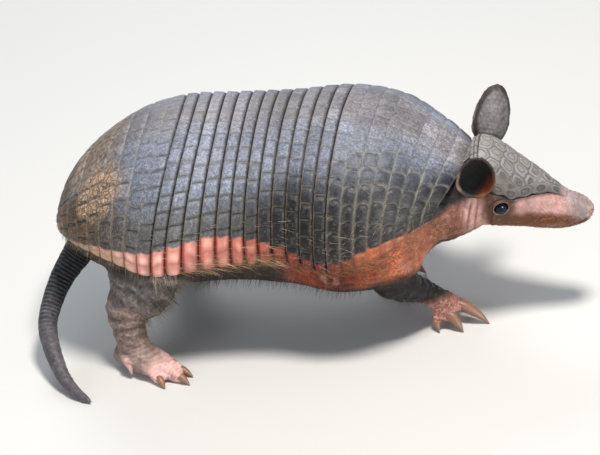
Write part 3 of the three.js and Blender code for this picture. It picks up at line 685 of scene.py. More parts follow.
def limb_rings(stations, sides, per, up=(0, 0, 1), round_start=False, round_end=False):
    """Rings of points round a path of stations; a rounded end closes like a ball."""
    last = len(stations) - 1
    u = np.linspace(0, last, max(2, last * per) + 1)
    rows = spline(stations, u)
    ahead, behind = spline(stations, np.minimum(u + 0.02, last)), spline(stations, np.maximum(u - 0.02, 0))
    along = unit((ahead - behind)[:, :3])
    side = unit(np.cross(np.array(up, float), along))
    top = np.cross(along, side)
    q = ring_angles(sides)

    def ring(i, push, size):
        across = side[i] * (rows[i, 3] * size * np.cos(q))[:, None]
        return rows[i, :3] + along[i] * push + across + top[i] * (rows[i, 4] * size * np.sin(q))[:, None]

    rings = [ring(i, 0, 1) for i in range(len(u))]
    turns = np.radians([75, 50, 25])
    if round_start:
        rings = [ring(0, -rows[0, 3] * math.sin(a), math.cos(a)) for a in turns] + rings
    if round_end:
        rings += [ring(-1, rows[-1, 3] * math.sin(a), math.cos(a)) for a in turns[::-1]]
    return np.array(rings)


def trunk_rings():
    arc = np.linspace(TRUNK_CHORD, ARCH, 8)
    q = np.concatenate([-arc[::-1], arc])
    under = np.linspace(0, math.pi, 44)[1:-1]
    side = (1 - power(np.cos(under), 0.9)) / 2
    rings = []
    for u in np.linspace(*TRUNK_STATIONS, 60):
        top = shell_point(u, q) - shell_normal(u, q) * (PLATE + SKIN_DEPTH)
        left, right = top[-1], top[0]
        low, square = spline(BELLY, u)
        below = left + (right - left) * side[:, None]
        below[:, 2] -= (below[:, 2] - low) * np.sin(under) ** square
        rings.append(np.concatenate([top, below]))
    return np.array(rings)


def head_section(u):
    """Of the head's section at u: its x, half width, middle z, and how far it reaches up and down."""
    x, top, low, half = np.moveaxis(spline(HEAD, u), -1, 0)
    middle = (top + low) / 2 - (top - low) * 0.04
    return x, half, middle, top - middle, middle - low


def head_point(u, q):
    """Point on the head at section u and angle q, 0 on the left side and a quarter turn at the top."""
    u, q = np.broadcast_arrays(np.asarray(u, float), np.asarray(q, float))
    x, half, middle, up, down = head_section(u)
    rise = power(np.sin(q), HEAD_SQUARE_UP) * np.where(np.sin(q) > 0, up, down)
    return head_frame(x, half * power(np.cos(q), HEAD_SQUARE_ACROSS), middle + rise)


def head_place(points):
    """Head frame coordinates x, across, z of points, with their section and angle on the head."""
    c, s = math.cos(HEAD_YAW), math.sin(HEAD_YAW)
    dx, dy, z = points[..., 0] - HEAD_AT[0], points[..., 1] - HEAD_AT[1], points[..., 2]
    x, across = HEAD_AT[0] + dx * c + dy * s, -dx * s + dy * c
    u = np.interp(x, HEAD_XS, HEAD_STATIONS)
    _, half, middle, up, down = head_section(u)
    rise = power((z - middle) / np.where(z > middle, up, down), 1 / HEAD_SQUARE_UP)
    q = np.arctan2(rise, power(across / half, 1 / HEAD_SQUARE_ACROSS))
    return x, across, z, u, q


def head_direction(x, across, z):
    c, s = math.cos(HEAD_YAW), math.sin(HEAD_YAW)
    return unit(np.array([x * c - across * s, x * s + across * c, z], float))


def head_surface(x, z, sign):
    """Point on the side of the head at x and z, in the animal's frame."""
    q = np.linspace(-1.2, 1.2, 400)
    ring = head_point(np.interp(x, HEAD_XS, HEAD_STATIONS), q if sign > 0 else math.pi - q)
    return ring[np.abs(ring[:, 2] - z).argmin()]


def head_rings():
    rings = head_point(np.linspace(0, HEAD_LAST, 90)[:, None], ring_angles(72))
    middle = rings[-1].mean(0)
    nose = [middle + (rings[-1] - middle) * math.cos(a) + np.array([0.7 * math.sin(a), 0, 0])
            for a in np.radians([25, 50, 72])]
    return np.concatenate([rings, np.array(nose)])


class Ear:
    """A deep cup: base, tip, the way it opens, and how pale its back is."""

    def __init__(self, base, tip, opening, pale):
        self.base, self.pale = np.array(base, float), pale
        along = np.array(tip, float) - self.base
        self.length = np.linalg.norm(along)
        self.along = along / self.length
        facing = np.array(opening, float)
        self.facing = unit(facing - self.along * (facing @ self.along))
        self.wide = np.cross(self.along, self.facing)

    def inside(self, r, a):
        c = np.cos(a)
        rim = EAR_MIDDLE + c * np.where(c > 0, 1 - EAR_MIDDLE, EAR_MIDDLE - EAR_LOW)
        wavy = 0.35 * np.sin(a * 9 + 1.3) * smooth(0.75, 1, r) + 0.25 * np.sin(a * 17) * smooth(0.8, 1, r)
        return (self.base + (self.length * (EAR_DEEPEST + (rim - EAR_DEEPEST) * r))[..., None] * self.along
                + (EAR_WIDE * np.sin(a) * (1 - 0.08 * c) * r)[..., None] * self.wide
                + (wavy - EAR_DEEP * (1 - r * r))[..., None] * self.facing)

    def walls(self, steps, sides, thick):
        """Grids of points over the inside and over a wall this thick, and the angles round them."""
        e, a = 0.02, ring_angles(sides)
        rr, aa = np.meshgrid(np.linspace(0.02, 1, steps), a, indexing="ij")
        outward = self.inside(rr + e, aa) - self.inside(rr - e, aa)
        out = unit(np.cross(outward, self.inside(rr, aa + e) - self.inside(rr, aa - e)))
        flip = np.where(out @ self.facing < 0, 1.0, -1.0)
        return self.inside(rr, aa), self.inside(rr, aa) + out * (flip * thick)[..., None], a

    def cup(self):
        """Rings over the inside from the bottom up, over the rim and down the outside."""
        inner, outer, a = self.walls(34, 96, EAR_THICK)
        one = np.ones_like(a)
        push = unit(self.inside(one, a) - self.inside(0.9 * one, a))[None]
        lip = [inner[-1:] * (1 - t) + outer[-1:] * t + 0.35 * math.sin(math.pi * t) * push
               for t in (0.25, 0.5, 0.75)]
        return np.concatenate([inner, *lip, outer[::-1]])

    def plug(self, grow):
        """The cup, its wall thickened by `grow`, and its hollow as one body, running on past the rim."""
        _, outer, _ = self.walls(14, 48, EAR_THICK + grow)
        return np.concatenate([outer, outer[-1:] + 4 * self.facing, outer[-1:] + 12 * self.facing])

    def place(self, p):
        """Each point's place out of the opening, up the ear from 0 to 1, across it, and over its radius."""
        d = p - self.base
        out, up, wide = d @ self.facing, d @ self.along / self.length, d @ self.wide
        reach = np.where(up > EAR_MIDDLE, 1 - EAR_MIDDLE, EAR_MIDDLE - EAR_LOW)
        return out, up, wide, np.hypot(wide / EAR_WIDE, (up - EAR_MIDDLE) / reach)

    def reach(self, p):
        """1 on the ear, 0 away from it."""
        out, _, _, r = self.place(p)
        return smooth(1.14, 1.07, r) * smooth(-14, -12.6, out) * smooth(7, 5, out)


EARS = [Ear((137.5, -50, 116), (142.5, -57, 154), (0.12, -1, 0.25), 0.3),
        Ear((144, 8, 126), (156.5, 26, 170), (-0.2, 1, 0.1), 1.0)]


# ---- flesh: one skin ----------------------------------------------------------------------------
SKIN_VOXEL = 2.25  # millimetres, before the head and feet are made finer
NAPE_DEPTH = PLATE + 1.4  # from the shell's outer face down to the skin near the nape
EAR_BITE = 0.4  # how far an ear's outer wall bites into the head


def flesh_mesh():
    """Trunk, head, neck, tail and legs as one mesh of bodies that run into one another."""
    rings = [trunk_rings(), head_rings(), limb_rings(NECK, 72, 8), limb_rings(TAIL, 40, 10, round_end=True)]
    bodies = [loft(body) for body in rings + [body for leg in LEGS for body in leg.bodies()]]
    starts = np.cumsum([0] + [len(points) for points, _ in bodies])
    faces = [[part + start for part in group] for (_, group), start in zip(bodies, starts)]
    faces = [np.concatenate(groups) for groups in zip(*faces)]
    return make_mesh("skin", np.concatenate([points for points, _ in bodies]), faces)


def refine(obj, wanted):
    """Splits each face whose centre is wanted into four."""
    bm = bmesh.new()
    bm.from_mesh(obj.data)
    centres = np.array([f.calc_center_median() for f in bm.faces])
    chosen = wanted((centres - SHIFT) / MM)
    edges = {e for f, c in zip(bm.faces, chosen) if c for e in f.edges}
    bmesh.ops.subdivide_edges(bm, edges=list(edges), cuts=1, use_grid_fill=True)
    bm.to_mesh(obj.data)
    bm.free()


def relaxed(mesh, rounds):
    """The mesh's points after moving, some rounds long, half way to the middle of their neighbours."""
    a, b = read(mesh.edges, "vertices", 2, np.int32).T
    n, points = len(mesh.vertices), coordinates(mesh)
    count = np.maximum(np.bincount(a, minlength=n) + np.bincount(b, minlength=n), 1)
    for _ in range(rounds):
        total = stack(*[np.bincount(a, v[b], n) + np.bincount(b, v[a], n) for v in points.T])
        points = points + (total / count[:, None] - points) * 0.5
    return points


def front_and_feet(p):
    """Whether a point is on the head or near a foot."""
    near = np.zeros(len(p), bool)
    for leg in LEGS:
        middle = np.array(leg.foot).mean(0)[:2]
        near |= length(p[:, :2] - middle) < 40
    return (p[:, 0] > 131) | (near & (p[:, 2] < 27))


def face_detail(p):
    """Whether a point is round an eye, by the mouth or on the nose."""
    x, across, z, _, _ = head_place(p)
    eye = np.hypot(x - EYE_AT[0] - 2, z - EYE_AT[2]) < 11
    return (eye & (np.abs(across) > 15)) | ((x > 176) & (z < 106)) | (x > 205)


def along_limb(points, path, per=24):
    """Station, distance over the limb's own radius and angle round it, for each point."""
    u = np.linspace(0, len(path) - 1, (len(path) - 1) * per + 1)
    rows = spline(path, u)
    best, at = np.full(len(points), 1e9), np.zeros(len(points), int)
    for i, row in enumerate(rows):
        d = ((points - row[:3]) ** 2).sum(-1)
        closer = d < best
        best[closer], at[closer] = d[closer], i
    along = unit(np.gradient(rows[:, :3], axis=0))[at]
    offset = points - rows[at, :3]
    station = u[at] + (offset * along).sum(-1) / length(np.gradient(rows[:, :3], u, axis=0))[at]
    side = unit(np.cross(np.array([1.0, 0.2, 0.1]), along))
    top = np.cross(along, side)
    radius = np.sqrt(rows[at, 3] * rows[at, 4])
    return station, np.sqrt(best) / radius, np.arctan2((offset * top).sum(-1), (offset * side).sum(-1))


def keep_under_shell(points, depth):
    """Pushes points near the nape down to lie `depth` below the shell's outer face."""
    near = np.flatnonzero((points[:, 0] > 85) & (points[:, 2] > 70))
    u, q = np.meshgrid(np.linspace(8.4, 10, 26), np.linspace(-ARCH, ARCH, 70), indexing="ij")
    on, out = shell_point(u, q).reshape(-1, 3), shell_normal(u, q).reshape(-1, 3)
    ends = u.ravel() > 9.97
    for chunk in np.array_split(near, max(1, len(near) // 3000)):
        p = points[chunk]
        d = (p**2).sum(-1)[:, None] + (on**2).sum(-1)[None] - 2 * p @ on.T
        k = d.argmin(1)
        high = ((p - on[k]) * out[k]).sum(-1) + depth
        inside = ~ends[k] & (high > 0) & (d[np.arange(len(k)), k] < 30**2)
        points[chunk] = p - out[k] * np.where(inside, high, 0)[:, None]
    return points


# ---- flesh: relief and paint --------------------------------------------------------------------
# Colours of skin, as linear light.
BELLY_SHADOW, FLANK_PALE = (0.022, 0.012, 0.009), (0.62, 0.36, 0.27)
CHEEK, CHEEK_BROWN, CHEEK_LOW = (0.58, 0.345, 0.29), (0.10, 0.038, 0.014), (0.24, 0.12, 0.075)
MUZZLE, JAW, CHIN = (0.48, 0.275, 0.25), (0.155, 0.046, 0.014), (0.33, 0.19, 0.14)
NOSE, NOSE_TIP, NOSE_HIGHLIGHT = (0.25, 0.205, 0.205), (0.52, 0.34, 0.29), (0.33, 0.30, 0.30)
SCALP, SHADE_BEHIND_EAR, NECK_FOLD_SHADE = (0.215, 0.205, 0.20), (0.012, 0.008, 0.008), (0.30, 0.10, 0.07)
EYE_SKIN, BROW_SHADOW = (0.115, 0.045, 0.020), (0.03, 0.02, 0.018)
LID, SOCKET = (0.27, 0.25, 0.31), (0.02, 0.012, 0.010)
MOUTH, LIP_FRONT, NOSTRIL_DARK = (0.035, 0.014, 0.008), (0.06, 0.025, 0.018), (0.02, 0.010, 0.009)
SHIELD_SHADOW, SHIELD_BED = (0.05, 0.028, 0.02), (0.03, 0.02, 0.018)
THIGH, SHANK, TOE = (0.195, 0.168, 0.156), (0.21, 0.148, 0.127), (0.66, 0.40, 0.37)
# the fore leg's near-black colour is painted shade under the body
FOREARM_SHADE, HAND = (0.005, 0.0035, 0.0025), (0.41, 0.19, 0.145)
SCUTE_RING, SCUTE_SHINE = (0.30, 0.235, 0.20), (0.065, 0.075, 0.095)
TAIL_TOP, TAIL_LOW, TAIL_ROOT_SHADOW = (0.036, 0.035, 0.041), (0.118, 0.106, 0.116), (0.003, 0.003, 0.003)
EAR_HOLLOW_SHADE, EAR_GLOW = (0.002, 0.0015, 0.0015), (0.13, 0.033, 0.008)
EAR_BACK, EAR_BACK_EDGE = (0.165, 0.152, 0.156), (0.026, 0.021, 0.020)
EAR_FRONT_RIM, EAR_BACK_RIM, EAR_TOP_RIM = (0.15, 0.05, 0.018), (0.30, 0.22, 0.16), (0.035, 0.026, 0.024)
# How a hind leg (True) or a fore leg (False) looks: upper part, lower part, toes, then the size of
# its round scutes in millimetres, their seed, how much they show, how scaly the skin is, and the
# heights between which the leg fades out of the trunk.
LEG_LOOKS = {
    True: (THIGH, SHANK, TOE, 6.2, 62, 1.0, 1.0, (84, 72)),
    False: (FOREARM_SHADE, FOREARM_SHADE, HAND, 4.6, 61, 0.3, 0.45, (74, 60)),
}

LIMB_STATION, LIMB_RADIUS, TAIL_RADIUS = 19.0, 14.0, 8.0  # millimetres, roughly
MOUTH_LINE = [(217, 85.8), (213, 84.3), (200, 80.8), (188, 81.5), (178, 84.0)]
MOUTH_FRONT = 86.2
NOSTRIL = (3.3, 89.6)  # from the middle, and up
# Places along the head, and heights there: the stripe's lower edge, and the lower edge of the
# painted shade behind the ear.
STRIPE = ([150, 160, 169, 192, 207], [103, 101, 100.0, 95.5, 90.0])
SHADE_EDGE_BEHIND_EAR = ([104, 108, 115, 124, 132, 140], [104, 106, 110, 113, 113.5, 118])
# Lower edge of the head shield, as an angle round the head, by head section.
SHIELD_EDGE = [[18], [15], [13], [11], [9], [18], [33], [54], [66], [80]]
SHIELD_FROM, SHIELD_TO, SHIELD_THICK = 1.06, 8.1, 1.8
NUCHAL_EDGE = math.radians(38)
NUCHAL = [(0.05, 0.5), (0.56, 1.0)]
EDGE_SCUTES = 0.9  # scutes of the shield's lowest row, to a head section


class Skin:
    """The skin's points with what is built up on them: height, colour and marks for the material."""

    def __init__(self, points, normals):
        self.p, self.n = points, normals
        self.soft, self.fine = rough(points, 22.0, 31), rough(points, 5.0, 37)
        self.hx, self.across, self.hz, self.u, self.q = head_place(points)
        self.side = np.abs(self.across)
        self.ears = np.max([ear.reach(points) for ear in EARS], axis=0)
        self.colour = np.zeros((len(points), 3))
        self.height, self.scaly, self.wet, self.strands, self.down_tail = np.zeros((5, len(points)))

    def lay(self, *layers):
        self.colour = blend(self.colour, *layers)

    def shade(self, amount):
        self.colour = shaded(self.colour, amount)

    def even(self, tone):
        return np.zeros((len(self.p), 3)) + tone


def paint_trunk(s):
    """Wrinkled skin, with the flesh colour of the shell's rim carried down the front of the flank,
    and near-black painted shadow underneath and on the flank from the middle back.
    """
    x, y, z = s.p.T
    s.colour = spline(FLESH, np.interp(x, [row[2] for row in SHELL], np.arange(len(SHELL))))
    # painted shadow under the body and on the flank from the middle back
    below = smooth(-0.45, -0.9, s.n[:, 2] + 0.15 * s.soft)
    s.lay((BELLY_SHADOW, np.maximum(below * 0.9, smooth(12, -14, x))))
    s.shade(0.25 * s.soft + 0.3 * s.fine)
    level = z + 0.25 * x + 3.0 * noise(s.p, 16.0, 41)
    folds = 0.8 * wave(level, 7.0) + 0.5 * wave(level, 3.3, s.soft * 3)
    streaks = rough(s.p * [0.3, 0.5, 1], 2.6, 43)
    flank = smooth(1.0, 0.4, np.abs(s.n[:, 0])) * smooth(130, 118, x)
    s.strands = flank * smooth(-10, 20, x)
    s.shade(flank * (0.16 * folds + 0.22 * streaks))
    s.lay((FLANK_PALE, 0.4 * flank * smooth(0.3, 0.8, streaks) * smooth(10, 30, x)))
    knobs, _, _ = cell_pattern(x, z + y, 3.6, 51)
    s.height += flank * (0.45 * folds + 0.3 * streaks + 0.3 * smooth(0.45, 0.1, knobs))


def paint_leg(s, leg):
    """Small round scutes above, wrinkles at the joints, bare toes."""
    p, soft, fine = s.p, s.soft, s.fine
    x, _, z = p.T
    station, reach, turn = along_limb(p, leg.limb)
    down, around = station * LIMB_STATION, turn * LIMB_RADIUS
    upper, lower, end, size, seed, strong, scaly, top = LEG_LOOKS[leg.hind]
    bare = smooth(32, 22, z)
    if leg.hind:
        bare = smooth(22, 11, z + 2 * soft) * smooth(2, 16, x - leg.ankle[0] + 2 * fine)
    on_foot = smooth(34, 26, z) * smooth(52, 40, length((p - leg.ankle)[:, :2]))
    on = np.maximum(smooth(1.75, 1.15, reach) * smooth(*top, z), on_foot)
    tone = shaded(blend(s.even(upper), (lower, smooth(2.0, 3.2, station))), 0.25 * soft + 0.2 * fine)
    s.lay((blend(tone, (shaded(s.even(end), 0.15 * soft), 0.95 * bare)), on))

    centre, _, which = cell_pattern(around, down, size, seed, 0.55)
    gate = on * smooth(20, 34, z) * smooth(0.25, 0.4, which + 0.2 * smooth(2.0, 0.0, np.abs(station - 3.2)))
    dome = smooth(0.56, 0.2, centre)
    s.height += gate * (0.6 * dome - 0.15)
    ring = smooth(0.62, 0.5, centre) * smooth(0.3, 0.46, centre)
    s.lay((SCUTE_RING, 0.25 * gate * ring * strong),
          (SCUTE_SHINE, 0.5 * gate * dome * smooth(0.55, 0.8, which) * strong))
    s.shade(-0.3 * gate * smooth(0.5, 0.75, centre))
    s.scaly = np.maximum(s.scaly, on * smooth(20, 34, z) * scaly)

    wide = wave(down, 11.0, 2.6 * noise(p, 12.0, 73))
    s.height += on * 0.45 * wide * smooth(24, 34, z)
    s.shade(on * (0.3 * wide - 0.1) * smooth(24, 34, z))
    if leg.hind:
        slanting = down + 0.45 * around + 2.6 * noise(p, 8.0, 77)
        furrow = on * smooth(0.5, 0.95, wave(slanting, 8.5)) * smooth(3.2, 2.4, station)
        s.height -= 0.5 * furrow
        s.shade(-0.5 * furrow)
    creases = on * smooth(36, 26, z) * smooth(10, 18, z) * wave(down, 3.4, 2.2 * noise(p, 7.0, 71))
    s.height += 0.3 * creases
    s.shade(0.13 * creases)
    for knuckle, tip, radius, *_ in leg.digits:
        span = np.linalg.norm(tip - knuckle)
        ahead = (tip - knuckle) / span
        t = (p - knuckle) @ ahead
        away = length(p - knuckle - np.clip(t, 0, span)[:, None] * ahead)
        near = smooth(radius * 1.5, radius * 1.1, away) * smooth(0.3, 0.55, t / span)
        bars = near * wave(t, 3.1)
        s.height += 0.28 * bars * smooth(1.15, 0.95, t / span)
        s.shade(0.1 * bars)
        s.lay((np.array(end) * 1.15, 0.5 * near * smooth(0.98, 1.1, t / span)))


def paint_tail(s):
    """Rings of scutes, fading to fine scales."""
    x, _, z = s.p.T
    station, reach, turn = along_limb(s.p, TAIL)
    on = smooth(1.8, 1.2, reach) * smooth(-143, -152, x) * smooth(96, 86, z)
    on = np.maximum(on, smooth(2.4, 1.6, reach) * (station > 2) * (x < -140))
    steps = np.linspace(0, len(TAIL) - 1, 201)
    down = np.interp(station, steps, travelled(spline(TAIL, steps)[:, :3]))
    # near black at the root: painted shadow under the shell
    tone = blend(s.even(TAIL_TOP), (TAIL_LOW, smooth(3.2, 7.5, station)),
                 (TAIL_ROOT_SHADOW, smooth(2.0, 0.6, station)))
    s.lay((shaded(tone, 0.3 * s.soft + 0.25 * s.fine), on))
    s.down_tail = on * down / 100
    centre, _, which = cell_pattern(turn * TAIL_RADIUS, down, 3.3, 81, 0.5)
    dome, on_scales = smooth(0.6, 0.2, centre), on * smooth(9.8, 8, station)
    s.height += 0.32 * dome * on_scales
    s.shade(on * (0.35 * which * dome - 0.2 * (1 - dome)))
    s.scaly = np.maximum(s.scaly, 0.35 * on_scales * smooth(4.5, 6.5, station))


def paint_head(s):
    """Brown cheek and jaw under a pink stripe, grey nose and scalp, painted shade behind the ear."""
    hx, hz, side, soft, fine, bare = s.hx, s.hz, s.side, s.soft, s.fine, 1 - s.ears
    radial = np.hypot(s.across / 31.0, (hz - 113) / 36.0)
    s.head = smooth(126, 134, hx) * smooth(1.9, 1.5, radial) * smooth(70, 78, hz) * bare
    s.above = smooth(-4.0, 2.5, hz - np.interp(hx, *STRIPE) + 1.8 * noise(s.p, 5.0, 91))
    s.muzzle = smooth(160, 172, hx) * s.above
    nose = smooth(200, 213, hx + 0.35 * (hz - 95) + 2 * soft) * smooth(84, 89, hz)
    tone = blend(
        s.even(CHEEK),
        (CHEEK_BROWN, smooth(141, 149, hx + 2.5 * soft)),
        (MUZZLE, s.muzzle),
        (JAW, (1 - s.above) * smooth(158, 176, hx)),
        (CHIN, 0.65 * smooth(88, 80, hz) * smooth(160, 172, hx)),
        (NOSE, 0.9 * nose),
        (NOSE_TIP, 0.7 * smooth(215, 220, hx) * smooth(99, 92, hz)),
        # a painted highlight on the top of the nose
        (NOSE_HIGHLIGHT, 0.7 * smooth(5, 2, np.hypot(hx - 204, hz - 101)) * smooth(11, 5, side)),
        (SCALP, smooth(0.15, 0.4, np.sin(s.q)) * smooth(152, 142, hx)),
        (CHEEK_LOW, 0.7 * smooth(92, 84, hz) * smooth(172, 150, hx)),
    )
    # painted shade on the neck behind the ear, above a line along the head
    dark = smooth(-3, 3, hz - np.interp(hx, *SHADE_EDGE_BEHIND_EAR) - 2 * soft)
    dark = dark * smooth(100, 106, hx) * smooth(146, 138, hx)
    nape = smooth(128, 133, hz + soft) * smooth(104, 110, hx) * smooth(150, 142, hx)
    s.lay((shaded(tone, 0.16 * soft + 0.16 * fine), s.head),
          (SHADE_BEHIND_EAR, dark * smooth(135, 128, hz) * bare * smooth(16, 24, side)),
          (shaded(s.even(SCALP), 0.2 * fine), nape * bare))


def fold_neck(s):
    """Upright folds of the cheek and neck, with painted highlights on their crests and painted shade in
    their troughs, and cross folds between the shell and the neck bands.
    """
    hx, hz = s.hx, s.hz
    upright = hx - 0.22 * (hz - 100) + 1.6 * noise(stack(hx, hz * 0.35, s.across * 0.5), 9.0, 95)
    fold = wave(upright, 5.2) + 0.35 * wave(upright, 2.7, 1.0)
    where = smooth(118, 128, hx) * smooth(156, 149, hx) * smooth(120, 108, hz) * (1 - s.ears)
    where = where * (0.25 + 0.75 * smooth(-0.8, -0.2, s.n[:, 2]))
    s.height += where * 0.85 * fold
    # painted highlights on the folds' crests, painted shade in their troughs
    s.shade(0.2 * where * fold)
    s.lay((NECK_FOLD_SHADE, where * smooth(-0.5, -1.3, fold) * 0.6))
    nape = smooth(120, 128, hx) * smooth(141, 137, hx) * smooth(0.2, 0.5, np.sin(s.q)) * (1 - s.ears)
    s.height += nape * 0.5 * wave(hx - 0.1 * s.side, 3.6)


def eye_place(sign):
    """Where the eye's opening is on the skin, and which way it looks."""
    return head_surface(EYE_AT[0] + 0.8, EYE_AT[2], sign), head_direction(0.33, sign, 0.06)


def paint_eye(s, sign):
    """An opening with a raised pale lid, brown skin round it, a painted shadow above it under the brow,
    and fine wrinkles.
    """
    middle, forward = eye_place(sign)
    offset = s.p - middle
    depth = offset @ forward
    flat = offset - depth[:, None] * forward
    up, fore = flat[:, 2], flat @ head_direction(1, 0, 0)
    r = np.hypot(fore / 1.06, up / 0.94)
    near, upper = smooth(14, 9, np.abs(depth)) * (r < 16), smooth(-1, 3, up)
    wrinkle = np.sin(np.arctan2(up, fore) * 13 + 1.5 * noise(s.p, 4.0, 98))
    s.height += near * (
        -5.5 * smooth(4.95, 4.15, r) + (0.6 + 0.35 * upper) * hump(5.45, 1.25, r)
        - 0.5 * hump(7.4, 1.1, r) * (0.4 + 0.6 * upper) + 0.35 * hump(8.9, 1.2, r) * upper
        + 0.14 * wrinkle * hump(8.5, 3.0, r))
    # painted shadow above the eye, under the brow
    brow = hump(9.2, 2.0, r + 0.5 * noise(s.p, 3.0, 90)) * smooth(1, 4, up)
    s.lay((EYE_SKIN, near * smooth(11.5, 7.5, r + 0.8 * noise(s.p, 3.0, 99)) * (0.85 + 0.1 * upper)),
          (BROW_SHADOW, 0.85 * near * brow),
          (LID, near * hump(5.2, 0.5, r) * (0.85 - 0.35 * upper)),
          (SOCKET, near * smooth(5.1, 4.7, r)))
    s.wet = np.maximum(s.wet, near * hump(5.0, 0.8, r))


def line_distance(x, z, line):
    """Distance of each point from a line of straight stretches."""
    best = np.full(x.shape, 1e9)
    for (ax, az), (bx, bz) in zip(line[:-1], line[1:]):
        t = np.clip(((x - ax) * (bx - ax) + (z - az) * (bz - az)) / ((bx - ax) ** 2 + (bz - az) ** 2), 0, 1)
        best = np.minimum(best, np.hypot(x - ax - t * (bx - ax), z - az - t * (bz - az)))
    return best


def paint_mouth(s):
    """Mouth, lips and nostrils, with fine wrinkles on the muzzle and small bumps on the jaw."""
    hx, hz, side, on = s.hx, s.hz, s.side, s.head
    line = line_distance(hx, hz, MOUTH_LINE)
    lips = smooth(170, 178, hx) * smooth(1.5, 3.5, side) * on
    front, from_front = smooth(213, 216, hx) * (1 - smooth(1.5, 3.5, side)) * on, np.abs(hz - MOUTH_FRONT)
    hole = np.hypot(side - NOSTRIL[0], (hz - NOSTRIL[1]) * 1.25)
    at_tip, tip = smooth(217.2, 218.6, hx), smooth(214, 219, hx)
    s.height += lips * (-1.15 * smooth(0.85, 0.1, line) + 0.4 * hump(2.0, 1.4, line))
    s.height += front * -0.9 * smooth(0.9, 0.2, from_front)
    s.height += at_tip * (-2.4 * smooth(1.7, 0.9, hole) + 0.35 * hump(2.2, 1.0, hole))
    s.height += tip * 0.16 * wave(hz, 1.9)
    s.lay((MOUTH, lips * smooth(1.0, 0.35, line)), (LIP_FRONT, front * smooth(0.9, 0.3, from_front)),
          (NOSTRIL_DARK, at_tip * smooth(1.75, 1.15, hole)))
    s.wet = np.maximum(s.wet, 0.6 * tip)
    s.height += on * s.muzzle * 0.15 * wave(hx + 0.4 * hz + 1.8 * noise(s.p, 6.0, 93), 2.6)
    centre, _, _ = cell_pattern(hx, hz + 0.7 * side, 3.0, 97)
    bump, jaw = smooth(0.5, 0.15, centre), on * smooth(156, 164, hx) * (1 - s.above)
    s.height += jaw * 0.3 * bump
    s.shade(jaw * 0.35 * (bump - 0.4))


def sink_shield(s):
    """Beds that the head shield and the neck bands lie in, and the shadow round the shield."""
    q, u, on = s.q, s.u, s.head
    edge = np.radians(spline(SHIELD_EDGE, np.clip(u, 0, 9))[:, 0])
    inner = np.minimum(q - edge, math.pi - q - edge) * np.interp(u, [0, 4, 9], [30, 24, 14])
    bed = smooth(-0.2, 0.5, inner) * smooth(1.0, 1.03, u) * smooth(8.16, 8.12, u)
    neck = smooth(-0.02, 0.02, np.minimum(q, math.pi - q) - NUCHAL_EDGE) * (s.hx < 143)
    bed = np.maximum(bed, neck * smooth(135.3, 136.0, s.hx) * smooth(1.05, 1.0, u))
    s.height += on * -2.0 * bed
    rim = on * smooth(2.6, 0.6, np.abs(inner - 0.2)) * smooth(1.0, 1.2, u) * smooth(8.0, 6.8, u)
    s.lay((SHIELD_SHADOW, 0.7 * rim), (SHIELD_BED, on * bed * smooth(8.0, 7.4, u)))


def paint_ear(s, ear):
    """Hollow painted near black as shade, with a red glow low down in front, grey back, and a rim
    brown, pale and dark in turn.
    """
    out, up, wide, r = ear.place(s.p)
    on = smooth(1.15, 1.08, r) * smooth(-14.5, -12.8, out) * smooth(6, 4, out)
    way_in = unit(ear.base + ear.along * ear.length * EAR_MIDDLE + ear.facing * 4 - s.p)
    hollow = on * smooth(-0.05, 0.12, (s.n * way_in).sum(-1))
    outside = on * (1 - hollow)
    forward = wide * (1 if ear.wide[0] > 0 else -1) / EAR_WIDE
    frill = 0.03 * np.sin(np.arctan2(wide, up - EAR_MIDDLE) * 26) * smooth(0.7, 0.9, r)
    s.lay((EAR_BACK, outside * ear.pale),
          (EAR_BACK_EDGE, outside * 0.9 * smooth(0.80, 0.93, r + frill) * smooth(0.02, 0.22, up)))
    centre, _, _ = cell_pattern(wide, up * ear.length, 3.2, 103)
    s.height += outside * (3 * frill + 0.3 * smooth(0.55, 0.15, centre))
    s.shade(-0.3 * outside * smooth(0.35, 0.6, centre))
    glow = smooth(0.1, 0.75, forward + 0.2 * noise(s.p, 6.0, 105))
    glow = glow * smooth(0.62, 0.3, up) * smooth(0.5, 0.9, r)
    # painted shade inside the cup, near black
    s.lay((EAR_HOLLOW_SHADE, hollow), (EAR_GLOW, 0.85 * hollow * glow))
    s.wet = s.wet - hollow  # no gloss in there
    top_dark = np.maximum(smooth(0.5, 0.75, up), smooth(0.3, 0.16, up) * smooth(0.3, -0.2, forward))
    rim = blend(s.even(EAR_FRONT_RIM), (EAR_BACK_RIM, smooth(0.0, -0.6, forward)),
                (EAR_TOP_RIM, 0.92 * top_dark))
    at_rim = on * smooth(0.86, 0.96, r) * smooth(-2.6, -0.8, out)
    s.lay((shaded(rim, 0.4 * noise(s.p, 3.0, 107)), 0.9 * at_rim))
    s.height += hollow * 0.12 * wave(up * ear.length, 4.4, 2 * noise(s.p, 8.0, 109)) * smooth(1.0, 0.8, r)


def painted_skin(points, normals):
    """The skin with every part's colour, marks and relief laid on, later ones over earlier ones."""
    s = Skin(points, normals)
    paint_trunk(s)
    for leg in LEGS:
        paint_leg(s, leg)
    paint_tail(s)
    paint_head(s)
    fold_neck(s)
    for sign in (1, -1):
        paint_eye(s, sign)
    paint_mouth(s)
    sink_shield(s)
    # Nothing else of the skin stands as high as the ears' tips.
    s.lay((EAR_TOP_RIM, smooth(147.5, 149.5, s.hz) * smooth(122, 128, s.hx)))
    for ear in EARS:
        paint_ear(s, ear)
    return s


